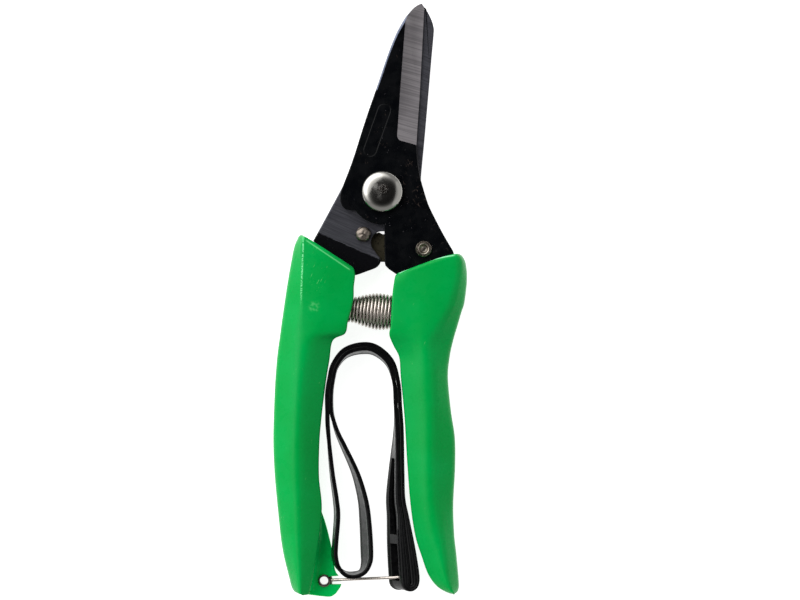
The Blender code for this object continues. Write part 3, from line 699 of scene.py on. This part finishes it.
def stop_pin():
    """Headed pin; its crown is beaten slightly out of round.

    Round the head the radius grows and shrinks by two sines of the angle, with 2 and 5
    waves, and the crown's height by one with 3 waves.
    """
    low, top = levels("stop_pin")
    seat = REAR_TOP + HEAD_GAP
    profile = [(0, low), (1.3, low), (1.5, low + 0.2), (1.5, seat), (2.25, seat),
               (2.4, seat + 0.15), (2.42, seat + 0.8)]
    profile += quarter(2.38, top - seat - 0.95, seat + 0.95, 10)
    segments, head, crown = 48, slice(7, None), slice(10, -1)
    points, faces = turned(profile, STOP_PIN, segments)
    a = np.linspace(0, FULL, segments, endpoint=False)
    out = points[head, :, :2] - STOP_PIN
    points[head, :, :2] = STOP_PIN + out * (1 + 0.04 * np.sin(2 * a + 0.6)
                                            + 0.025 * np.sin(5 * a))[:, None]
    points[crown, :, 2] += 0.05 * np.sin(3 * a + 1.0)
    skin = Skin("stop_pin").add((points, faces))
    return dressed(skin.finish([zinc]), "rear_half", "zinc_steel", "stop_pin")


def lever_rivet():
    """Rivet with a rolled rim and a cup in its front end, and a plain flange at the back."""
    low, top = levels("lever_rivet")
    seat = FRONT_TOP + HEAD_GAP
    corners = [(0, low), (2.5, low), (2.5, low + 0.5), (1.6, low + 0.5), (1.6, seat),
               (2.55, seat), (2.58, seat + 0.3), (2.35, seat + 0.6), (2.15, seat + 0.1),
               (1.9, seat + 0.1), (1.75, top), (1.45, top - 0.1), (1.2, seat + 0.1),
               (0.8, seat - 0.25), (0, seat - 0.05)]
    profile = np.array(corners)
    profile = np.vstack([profile[:1], eased(profile, 0.12, 4)[4:-4], profile[-1:]])
    skin = Skin("lever_rivet").add(turned(profile, LEVER_RIVET, 64))
    return dressed(skin.finish([rolled]), "front_half", "polished_steel", "lever_rivet")


def lock_lever():
    """Flat lever with a round end at its rivet, a hook for the pin and a bent thumb tab.

    The hook's slot is a band round the rivet's axis, as wide as the pin needs, that ends in
    a half circle round the place where the pin comes to rest.
    """
    low = levels("lock_lever")[0]
    top = REAR_LOW - 0.4
    under = top - 1.5
    x, y = LEVER_RIVET
    slot, end = 2.0, 183.5
    reach = math.hypot(STOP_PIN[0] - x, STOP_PIN[1] - y)
    outline = np.vstack([
        arc(LEVER_RIVET, 3.9, -80, 80, 17),
        [(1.6, -13.5), (0.0, -13.5), (-1.0, -12.9), (-3.3, -13.5), (-4.2, -14.8)],
        arc(LEVER_RIVET, reach - slot, 170.5, end, 7),
        arc((x + reach * math.cos(math.radians(end)), y + reach * math.sin(math.radians(end))),
            slot, end - 180, end - 360, 9)[1:-1],
        arc(LEVER_RIVET, reach + slot, end, 173.5, 6),
        curve([(-10.6, -15.3), (-11.3, -17.2), (-9.8, -20.6), (-6.0, -22.6)], 4),
        [(0.0, -22.4), (9.0, -22.7)]])
    skin = Skin("lock_lever").add(plate(outline, under, top, 0.2, 3), caps=True)
    tab_outline = eased(np.array([(2.6, -23.9), (8.4, -23.9), (8.4, -22.2), (2.6, -22.2)]), 0.5, 4)
    tab = Skin("lever_tab_tool").add(plate(tab_outline, low, top - 0.1, 0.3, 3), caps=True)
    bore = Skin("lever_bore_tool").add(turned([(0, under - 1), (1.9, under - 1), (1.9, top + 1),
                                               (0, top + 1)], LEVER_RIVET, 48))
    return dressed(skin.finish([olive], [bore], joined=[tab]),
                   "lever", "lever_steel", "lock_lever")


def strap_eyelet():
    """Small hollow rivet through the left handle's tab."""
    low, top = levels("strap_eyelet")
    profile = [(1.35, low), (1.8, low), (2.0, low + 0.12), (2.0, low + 0.3), (1.55, low + 0.3),
               (1.55, top - 0.3), (2.0, top - 0.3), (2.0, top - 0.15), (1.8, top), (1.55, top),
               (1.35, top - 0.2)]
    skin = Skin("strap_eyelet").add(turned(profile, EYELET, 48, closed=True))
    return dressed(skin.finish([zinc]), "rear_half", "zinc_steel", "strap_eyelet")


# ---------------------------------------------------------------- handles

# One row is one cut across a handle: outer edge x, y, inner edge x, y, the two front ridges'
# places as shares of the way across, and half the depth of the inner side.
LEFT_CUTS = [
    (-26.4, -13.5, -9.2, -24.2, 0.08, 0.80, 5.6), (-28.0, -17.0, -8.8, -26.8, 0.11, 0.80, 6.3),
    (-29.1, -22.0, -9.2, -30.5, 0.18, 0.82, 6.4), (-30.4, -29.5, -9.3, -34.0, 0.22, 0.84, 6.4),
    (-31.3, -35.5, -10.1, -38.0, 0.26, 0.84, 6.4), (-31.8, -39.0, -11.1, -41.5, 0.27, 0.84, 6.4),
    (-32.3, -42.5, -12.0, -45.3, 0.28, 0.78, 5.8), (-32.9, -47.0, -15.9, -47.6, 0.34, 0.70, 4.2),
    (-33.6, -52.2, -17.0, -54.0, 0.36, 0.66, 3.6), (-34.3, -60.9, -18.2, -61.5, 0.38, 0.64, 3.5),
    (-34.8, -73.0, -19.6, -73.0, 0.40, 0.66, 3.5), (-34.9, -81.0, -20.2, -81.0, 0.40, 0.68, 3.5),
    (-34.5, -90.0, -20.3, -91.0, 0.39, 0.68, 3.5), (-33.5, -101.2, -19.4, -101.2, 0.36, 0.62, 3.5),
    (-32.1, -113.5, -20.6, -113.5, 0.36, 0.64, 3.8),
    (-30.0, -122.8, -22.3, -122.8, 0.36, 0.66, 4.4),
    (-28.6, -127.3, -23.3, -127.8, 0.36, 0.66, 5.0),
    (-26.5, -128.6, -24.2, -128.8, 0.36, 0.66, 5.0),
]
RIGHT_CUTS = [
    (25.2, -20.0, 4.35, -26.3, 0.05, 0.80, 5.6), (26.6, -22.6, 3.9, -28.8, 0.06, 0.80, 6.3),
    (27.1, -27.9, 3.4, -32.6, 0.11, 0.80, 6.4), (26.3, -35.3, 3.0, -38.6, 0.17, 0.78, 6.4),
    (25.3, -38.6, 2.8, -42.8, 0.21, 0.76, 6.4), (23.9, -43.4, 2.4, -45.8, 0.28, 0.72, 5.8),
    (22.6, -47.9, 3.7, -49.2, 0.36, 0.64, 4.4), (21.5, -53.2, 5.5, -53.0, 0.34, 0.64, 3.6),
    (21.0, -59.8, 6.0, -59.5, 0.28, 0.64, 3.5), (22.0, -70.4, 7.1, -71.0, 0.34, 0.66, 3.5),
    (23.2, -78.5, 7.6, -79.0, 0.40, 0.70, 3.5), (23.3, -88.0, 8.15, -88.0, 0.42, 0.72, 3.5),
    (22.7, -100.0, 9.1, -100.0, 0.38, 0.72, 3.5), (23.0, -109.6, 10.6, -109.8, 0.30, 0.68, 3.5),
    (23.7, -116.0, 12.7, -116.6, 0.30, 0.64, 3.5), (24.3, -122.5, 14.8, -122.3, 0.32, 0.60, 3.6),
    (24.5, -126.2, 17.8, -126.2, 0.34, 0.62, 4.0), (24.0, -128.3, 21.9, -128.5, 0.36, 0.64, 4.6),
]


def handle_skin(name, cuts, bowed, top_ease, low_ease):
    """A faceted handle: an eased polygon carried along the cuts, its ends rolled over.

    Every cut stands on the line from its outer to its inner edge. Across it the front has
    an outer facet, a slightly crowned band and an inner facet, and the back mirrors them.
    The first cuts bow outward by `bowed`, which dies away along the handle, and the outer
    front ridge is eased by `top_ease` near the blades and by `low_ease` further down. At
    both ends extra rows close up, and shrink the polygon by a quarter round.
    """
    end_round, rolls, per_span = 0.9, 5, 8
    cuts = np.array(cuts)
    gaps = np.linalg.norm(np.diff((cuts[:, :2] + cuts[:, 2:4]) / 2, axis=0), axis=1)
    roll = np.linspace(math.pi / 2, 0, rolls)
    along, inward = end_round * (1 - np.sin(roll)), end_round * (1 - np.cos(roll))
    first, last = along / gaps[0], along / gaps[-1]
    steps = (len(cuts) - 1) * per_span
    at = np.concatenate([first, np.linspace(first[-1], len(cuts) - 1 - last[-1], steps)[1:-1],
                         (len(cuts) - 1 - last)[::-1]])
    pull = np.concatenate([inward, np.zeros(steps - 2), inward[::-1]])
    rows = flowing(cuts, at)
    outer, inner = rows[:, :2], rows[:, 2:4]
    width = np.linalg.norm(inner - outer, axis=1)
    ridge_out, ridge_in, side = rows[:, 4:].T
    crown = (ridge_out + ridge_in) / 2
    one, draft = np.ones(len(rows)), 0.9 / width
    front = [(0 * one, 5.0 * one), (0 * one, 9.8 * one)]
    front += [(ridge_out, (HANDLE_TOP - 0.5) * one), (crown, HANDLE_TOP * one),
              (ridge_in, (HANDLE_TOP - 0.7) * one), (one + 0.3 / width, MID + side)]
    back = [(one - draft, (MID - 0.3) * one), (one - draft, MID - side),
            (ridge_in, 0.15 * one), (crown, 0 * one), (ridge_out, 0.1 * one)]
    corners = np.stack([np.stack([u * width, z], axis=-1) for u, z in front + back], axis=1)
    corners = inset(corners[:, ::-1], pull[:, None, None])
    # One setback for each corner, from the back's outer ridge round to the front's outer one
    setback = np.tile([1.6, 5.0, 1.6, 1.0, 1.0, 0.9, 1.6, 5.0, 1.6, 1.8, 1.8], (len(at), 1))
    outer_ridge = 8
    setback[:, outer_ridge] = np.interp(at, [3, 8], [top_ease, low_ease])
    ring = eased(corners, setback, 6)
    across = ((inner - outer) / width[:, None])[:, None]
    share = (ring[..., :1] / width[:, None, None]).clip(0, 1)
    out = np.stack([-across[..., 1], across[..., 0]], axis=-1) * np.sign(across[..., :1])
    bow = bowed * np.exp(-at / 1.2)[:, None, None] * np.sin(math.pi * share**0.55)
    plan = outer[:, None] + across * ring[..., :1] + out * bow
    points = np.concatenate([plan, ring[..., 1:]], axis=-1)
    return Skin(name).add((points, quads(*points.shape[:2])), caps=True)


def handle_tab():
    """Thin tab at the left handle's tail and the fillet that runs up from it to the handle.

    The fillet's face is a hollow quarter of an ellipse, from its foot on the tab up to the
    wall. Its rows hold the wall's x, the foot's x, the place along y and the rise.
    """
    outline = np.vstack([
        [(-21.5, -102.6), (-26.0, -128.6), (-23.9, -129.3)],
        curve([(-20.0, -129.8), (-16.9, -130.0), (-15.4, -129.3), (-14.4, -128.2),
               (-13.2, -126.0), (-13.9, -123.6), (-15.2, -121.5), (-16.1, -115.5),
               (-17.2, -110.5), (-18.4, -106.0), (-19.6, -102.6)], 4)])
    # Finish 1, on the tab and on the fillet below, is the lighter green that paints over their
    # shade
    tab = Skin("handle_tab_tool").add(plate(outline, TAB_LOW, TAB_TOP, 0.45, 4), 1, caps=True)
    rows = curve([(-20.3, -20.0, -102.0, 0.3), (-20.2, -18.9, -106.0, 3.2),
                  (-20.9, -18.0, -112.0, 5.2), (-21.9, -19.4, -119.5, 5.2),
                  (-22.9, -21.2, -124.8, 5.2), (-23.5, -21.6, -128.0, 5.2)], 4)
    wall, foot, along, rise = rows.T[:, :, None]
    a = np.linspace(0, math.pi / 2, 10)
    x = wall + (foot - wall) * (1 - np.sin(a))
    z = TAB_TOP + rise * (1 - np.cos(a))
    behind = wall - 2.5
    root = np.full_like(wall, 1.5)
    x = np.hstack([behind, foot, x, behind])
    z = np.hstack([root, root, z, TAB_TOP + rise])
    sweep = np.stack([x, along + 0 * x, z], axis=-1)
    fillet = Skin("handle_fillet_tool").add((sweep, quads(*sweep.shape[:2])), 1, caps=True)
    return tab, fillet


def tab_tools():
    """Bore for the eyelet, slot for the link's eye and the flat pocket the eye turns in.

    The slot's upper side spreads outward, to leave the link room to swing up.
    """
    x, y = EYELET
    hole, half, spread = 1.85, 1.2, 0.6
    bore = Skin("tab_bore_tool").add(turned([(0, -1), (hole, -1), (hole, 5), (0, 5)], EYELET, 64))
    slot = Skin("tab_slot_tool").add(plate([(x, y - half), (x + 8, y - half),
                                            (x + 8, y + half + spread), (x, y + half)],
                                           -1, 5, 0.1, 2), caps=True)
    eye, room = (TAB_LOW + TAB_TOP) / 2, 0.78
    pocket = Skin("tab_pocket_tool").add(
        turned([(0, eye - room), (3.1, eye - room), (3.1, eye + room), (0, eye + room)],
               EYELET, 48))
    return [pocket, slot, bore]


def seat_tool(name, end, towards, outer_r):
    """An annular pocket for the spring's last turns, with a peg left in its middle."""
    along = (towards - end) / np.linalg.norm(towards - end)
    side = np.cross(along, (0, 0, 1))
    up = np.cross(side, along)
    a = np.linspace(0, FULL, 48, endpoint=False)[:, None]
    spoke = np.cos(a) * side + np.sin(a) * up
    corners = [(2.6, -0.6), (outer_r, -0.6), (outer_r, 8.4), (2.6, 8.4)]
    points = np.stack([end + along * reach + radius * spoke for radius, reach in corners])
    return Skin(name).add((points, quads(4, 48, round_rows=True)))


SPRING_LEFT = np.array([-11.6, -37.6, MID])     # ends of the spring's axis
SPRING_RIGHT = np.array([5.2, -38.75, MID])


def handles():
    """Both handles, with the spring's seats and the left one's tab."""
    left = handle_skin("left_handle", LEFT_CUTS, 0.25, 0.5, 2.4)
    seat = seat_tool("left_seat_tool", SPRING_LEFT, SPRING_RIGHT, 5.2)
    # The tab and fillet take the second, lighter green, painted brighter against the shade they lie
    # in
    left = left.finish([green, shade_lifted_green], [seat, *tab_tools()], sharp=38, joined=handle_tab())
    dressed(left, "rear_half", "green_plastic", "left_handle")
    right = handle_skin("right_handle", RIGHT_CUTS, 0.9, 2.2, 2.2)
    right = right.finish([green], [seat_tool("right_seat_tool", SPRING_RIGHT, SPRING_LEFT, 6.1)],
                         sharp=38)
    dressed(right, "front_half", "green_plastic", "right_handle")


# ---------------------------------------------------------------- spring, link and strap

def spring():
    """Barrel spring: a helix whose radius swells towards its right-hand end.

    The wire's circle at each point is spanned by two directions square to the helix's run:
    one across the axis and the run, the other square to that.
    """
    turns, per_turn, wire_r = 15, 28, 0.45
    share = np.linspace(0, 1, turns * per_turn + 1)
    radius = flowing([[3.75], [3.8], [4.6], [5.3], [5.5], [5.1], [4.7]], share * 6)
    along = (SPRING_RIGHT - SPRING_LEFT) / np.linalg.norm(SPRING_RIGHT - SPRING_LEFT)
    side = np.cross(along, (0, 0, 1))
    up = np.cross(side, along)
    a = (FULL * turns * share)[:, None]
    path = (SPRING_LEFT + (SPRING_RIGHT - SPRING_LEFT) * share[:, None]
            + radius * (np.cos(a) * side + np.sin(a) * up))
    run = np.gradient(path, axis=0)
    run /= np.linalg.norm(run, axis=1)[:, None]
    out = np.cross(along, run)
    out /= np.linalg.norm(out, axis=1)[:, None]
    lift = np.cross(run, out)
    b = np.linspace(0, FULL, 12, endpoint=False)[:, None]
    points = path[:, None] + wire_r * (np.cos(b) * out[:, None] + np.sin(b) * lift[:, None])
    made = Skin("spring").add((points, quads(*points.shape[:2])), caps=True).finish([drawn])
    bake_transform(made)
    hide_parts("spring")


LINK_BAR = np.array([5.55, -123.4, MID])
STRAP_HALF = 4.0                        # half the width of the band, which stands on its edge
# Middle line of the doubled band: x, y, both layers' thickness together, and how far the
# front edge leans from the middle in x and in y.
STRAP_PAIR = [
    (6.95, -123.0, 5.9, 2.2, 0.0), (6.35, -117.0, 5.4, 2.2, 0.0), (5.7, -111.0, 4.7, 2.1, 0.0),
    (4.95, -104.0, 3.4, 2.05, 0.0), (4.25, -98.0, 2.9, 1.8, 0.0), (4.5, -89.6, 2.8, 1.3, 0.0),
    (5.2, -76.2, 2.8, 0.3, 0.0), (4.95, -68.0, 2.7, 0.0, 0.0), (4.45, -61.0, 2.6, 0.0, 0.1),
    (2.4, -54.7, 2.7, 0.1, 0.35), (-2.2, -50.7, 2.8, 0.0, 0.6), (-7.0, -50.1, 2.8, 0.0, 0.65),
    (-12.0, -51.7, 2.7, 0.0, 0.5), (-15.2, -55.6, 2.6, 0.0, 0.15),
    (-16.3, -59.6, 2.5, 0.0, 0.0), (-17.0, -64.5, 2.6, 0.0, 0.0), (-16.95, -70.0, 2.6, 0.0, 0.0),
]
# The single band of the open loop at the left, from the outer strand round to the inner one
STRAP_LOOP = [
    (-17.4, -76.0, 1.3, 0.0, 0.0), (-16.15, -89.5, 1.3, 0.3, 0.0), (-14.9, -98.5, 1.35, 0.45, 0.0),
    (-14.5, -104.0, 1.35, 0.5, 0.0), (-15.1, -112.4, 1.35, 0.45, 0.0),
    (-15.25, -116.6, 1.35, 0.5, 0.2), (-14.2, -120.1, 1.35, 0.3, 0.2),
    (-11.8, -122.35, 1.35, 0.1, -0.1), (-8.9, -122.7, 1.35, 0.0, -0.35),
    (-6.4, -121.7, 1.35, 0.6, -0.1), (-5.2, -119.2, 1.35, 1.2, 0.0),
    (-4.95, -115.5, 1.35, 1.55, 0.0), (-5.4, -106.0, 1.35, 1.45, 0.0),
    (-6.25, -98.5, 1.35, 1.2, 0.0), (-8.6, -90.0, 1.3, 0.9, 0.0), (-12.4, -81.5, 1.3, 0.6, 0.0),
    (-14.3, -77.3, 1.3, 0.35, 0.0), (-15.6, -73.2, 1.3, 0.1, 0.0),
]
# The thick turn round the link's bar
STRAP_TURN = [(5.6, -125.55, 2.5, 2.2, 0.0), (6.95, -126.45, 2.5, 2.2, 0.0),
              (8.3, -125.55, 2.5, 2.2, 0.0)]
# Half of the band's section, from the middle of its right face round the front edge: share of
# the thickness, share of the half width. Raised rims stand either side of a thinner web.
STRAP_RIM = [(0.41, 0.52), (0.41, 0.63), (0.5, 0.70), (0.5, 0.92), (0.44, 0.975), (0.33, 1.0),
             (0.2, 1.0), (0.16, 0.985), (0.12, 1.0)]


def layer(rows, side):
    """One layer of the doubled band: the middle line moved half a layer to one side."""
    rows, gap = np.array(rows, float), 0.04
    run = np.gradient(rows[:, :2], axis=0)
    run /= np.linalg.norm(run, axis=1)[:, None]
    thick = (rows[:, 2] - gap) / 2
    rows[:, :2] += side * np.column_stack([run[:, 1], -run[:, 0]]) * ((thick + gap) / 2)[:, None]
    rows[:, 2] = thick
    return rows


def strap_section():
    """The closed section of the band as shares of its thickness and half width."""
    front = np.array(STRAP_RIM)
    front = np.vstack([front, front[::-1] * (-1, 1)])
    return np.vstack([front, front * (-1, -1)])


def wrist_strap():
    """The band: its section carried round the closed middle line, leaning as the line says.

    A slot leaves out the web's quads on both faces between two rows of the grid, and walls
    join the two faces round it. Both slots are in the second layer's right-hand strand.
    """
    outer, inner = layer(STRAP_PAIR, 1), layer(STRAP_PAIR, -1)
    per_span = 9
    rows = ring_curve(np.vstack([outer, STRAP_LOOP, inner[::-1], STRAP_TURN]), per_span)
    run = np.roll(rows[:, :2], -1, axis=0) - np.roll(rows[:, :2], 1, axis=0)
    run /= np.linalg.norm(run, axis=1)[:, None]
    normal = np.column_stack([run[:, 1], -run[:, 0], np.zeros(len(run))])
    section = strap_section()
    lean = np.column_stack([rows[:, 3:5], np.full(len(rows), STRAP_HALF)])
    centre = np.column_stack([rows[:, :2], np.full(len(rows), MID)])
    points = (centre[:, None] + normal[:, None] * (rows[:, 2, None] * section[:, 0])[..., None]
              + lean[:, None] * section[:, 1, None])
    count = len(section)
    faces = quads(*points.shape[:2], round_rows=True).reshape(len(rows), count, 4)
    row = np.arange(len(rows))
    begins = per_span * (len(outer) + len(STRAP_LOOP))
    second_layer = (row >= begins) & (row < begins + per_span * len(inner)) & (rows[:, 0] > 2)
    kept = np.ones((len(rows), count), bool)
    half = count // 2
    walls = []
    for low, high in ((-109.0, -84.0), (-124.4, -112.3)):
        cut = np.flatnonzero(second_layer & (rows[:, 1] > low) & (rows[:, 1] < high))
        kept[cut, half - 1] = False
        kept[cut, count - 1] = False
        first, last = cut[0] * count, (cut[-1] + 1) * count
        for one, two in ((half - 1, 0), (count - 1, half)):
            start = cut * count
            walls.append(np.column_stack([start + one, start + count + one,
                                          start + count + two, start + two]))
        for end in (first, last):
            walls.append([[end + half - 1, end + half, end + count - 1, end]])
    every = np.vstack([faces[kept], *walls])
    made = Skin("wrist_strap").add((points, every)).finish([rubber], sharp=34)
    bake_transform(made)
    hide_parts("wrist_strap")


def wire_link():
    """Steel wire: an eye round the eyelet, a straight rise, and a bar through the strap."""
    eye_r, wire_r, bar_r, bar_half, eye_z = 2.275, 0.475, 0.6, 2.6, 2.0
    start = np.array([*EYELET, eye_z])
    along = (LINK_BAR - start) / np.linalg.norm(LINK_BAR - start)
    circle = np.column_stack([arc(EYELET, eye_r, 0, 360, 65)[:-1], np.full(64, eye_z)])
    lean = np.array([2.2, 0, STRAP_HALF]) / math.hypot(2.2, STRAP_HALF)
    shank = np.linspace(start + along * eye_r, LINK_BAR, 24)
    bar = np.linspace(LINK_BAR - lean * bar_half, LINK_BAR + lean * bar_half, 9)
    eye = Skin("eye_tool").add(wire(circle, wire_r, 16, closed=True))
    crossbar = Skin("bar_tool").add(wire(bar, bar_r), caps=True)
    made = Skin("wire_link").add(wire(shank, wire_r), caps=True)
    dressed(made.finish([drawn], joined=[eye, crossbar]), "link", "spring_steel", "wire_link")


# ---------------------------------------------------------------- setting

def setting():
    """A plain pale floor, soft light from the sides and a camera straight above.

    The sky's strength is the product of two smooth ramps of the direction. One falls from 1
    at 50 degrees above the floor to 0.03 at 80 degrees. The other grows from 0.45 to 3.4
    towards one bright place high on the left, on the side of the tips.
    """
    mesh = bpy.data.meshes.new("floor")
    reach, level = 3.0, -0.0002
    mesh.from_pydata([(-reach, -reach, level), (reach, -reach, level), (reach, reach, level),
                      (-reach, reach, level)], [], [(0, 1, 2, 3)])
    floor = bpy.data.objects.new("floor", mesh)
    bpy.context.scene.collection.objects.link(floor)
    pale = Finish("floor_paper", (0.5, 0.5, 0.5), 0.9, specular=0.0)
    pale.wear(Emission_Color=(1, 1, 1, 1), Emission_Strength=0.9)
    mesh.materials.append(pale.material)

    world = bpy.data.worlds.new("studio")
    bpy.context.scene.world = world
    world.use_nodes = True
    nodes, links = world.node_tree.nodes, world.node_tree.links
    towards = nodes.new("ShaderNodeTexCoord").outputs["Generated"]
    shares = []
    for line, start, stop, low, high in (((0, 0, 1), 0.76, 0.985, 1.0, 0.03),
                                         ((-0.58, 0.5, 0.64), 0.55, 1.0, 0.45, 3.4)):
        part = nodes.new("ShaderNodeVectorMath")
        part.operation = "DOT_PRODUCT"
        part.inputs[1].default_value = line
        links.new(towards, part.inputs[0])
        ramp = nodes.new("ShaderNodeMapRange")
        ramp.interpolation_type = "SMOOTHSTEP"
        for socket, number in zip(("From Min", "From Max", "To Min", "To Max"),
                                  (start, stop, low, high)):
            ramp.inputs[socket].default_value = number
        links.new(part.outputs["Value"], ramp.inputs["Value"])
        shares.append(ramp.outputs[0])
    both = nodes.new("ShaderNodeMath")
    both.operation = "MULTIPLY"
    for share, socket in zip(shares, both.inputs):
        links.new(share, socket)
    links.new(both.outputs[0], nodes["Background"].inputs["Strength"])
    nodes["Background"].inputs["Color"].default_value = (1, 1, 1, 1)

    lights = [("key", (-0.65, 0.55, 0.75), 1.6, 6.0), ("fill", (0.9, -0.1, 0.6), 1.6, 2.0)]
    for name, place, size, power in lights:
        lamp = bpy.data.lights.new(name, "AREA")
        lamp.shape = "DISK"
        lamp.size, lamp.energy = size, power
        made = bpy.data.objects.new(name, lamp)
        made.location = place
        aim = -made.location
        made.rotation_euler = aim.to_track_quat("-Z", "Y").to_euler()
        bpy.context.scene.collection.objects.link(made)

    eye = bpy.data.cameras.new("camera")
    height, focus_height, wide = 1.2, 0.010, 0.2556   # metres; `wide` fills the frame's width
    eye.sensor_width = 36.0
    eye.lens = eye.sensor_width * (height - focus_height) / wide
    eye.clip_start, eye.clip_end = 0.05, 10.0
    camera = bpy.data.objects.new("camera", eye)
    camera.location = ((PIVOT[0] + 5.65) * MM, (PIVOT[1] - 34.63) * MM, height)
    bpy.context.scene.collection.objects.link(camera)
    bpy.context.scene.camera = camera
    bpy.context.scene.view_settings.view_transform = "Standard"


setting()
front_blade()
rear_blade()
pivot_bolt()
ring_piece("pivot_washer", "rear_half", "zinc_steel", zinc, (0, 0), 3.3, 6.2)
pivot_nut()
stop_pin()
lever_rivet()
ring_piece("lever_spacer", "front_half", "zinc_steel", zinc, LEVER_RIVET, 1.9, 2.7)
ring_piece("lever_washer", "front_half", "zinc_steel", zinc, LEVER_RIVET, 1.9, 3.1, 0.08)
lock_lever()
strap_eyelet()
handles()
spring()
wire_link()
wrist_strap()
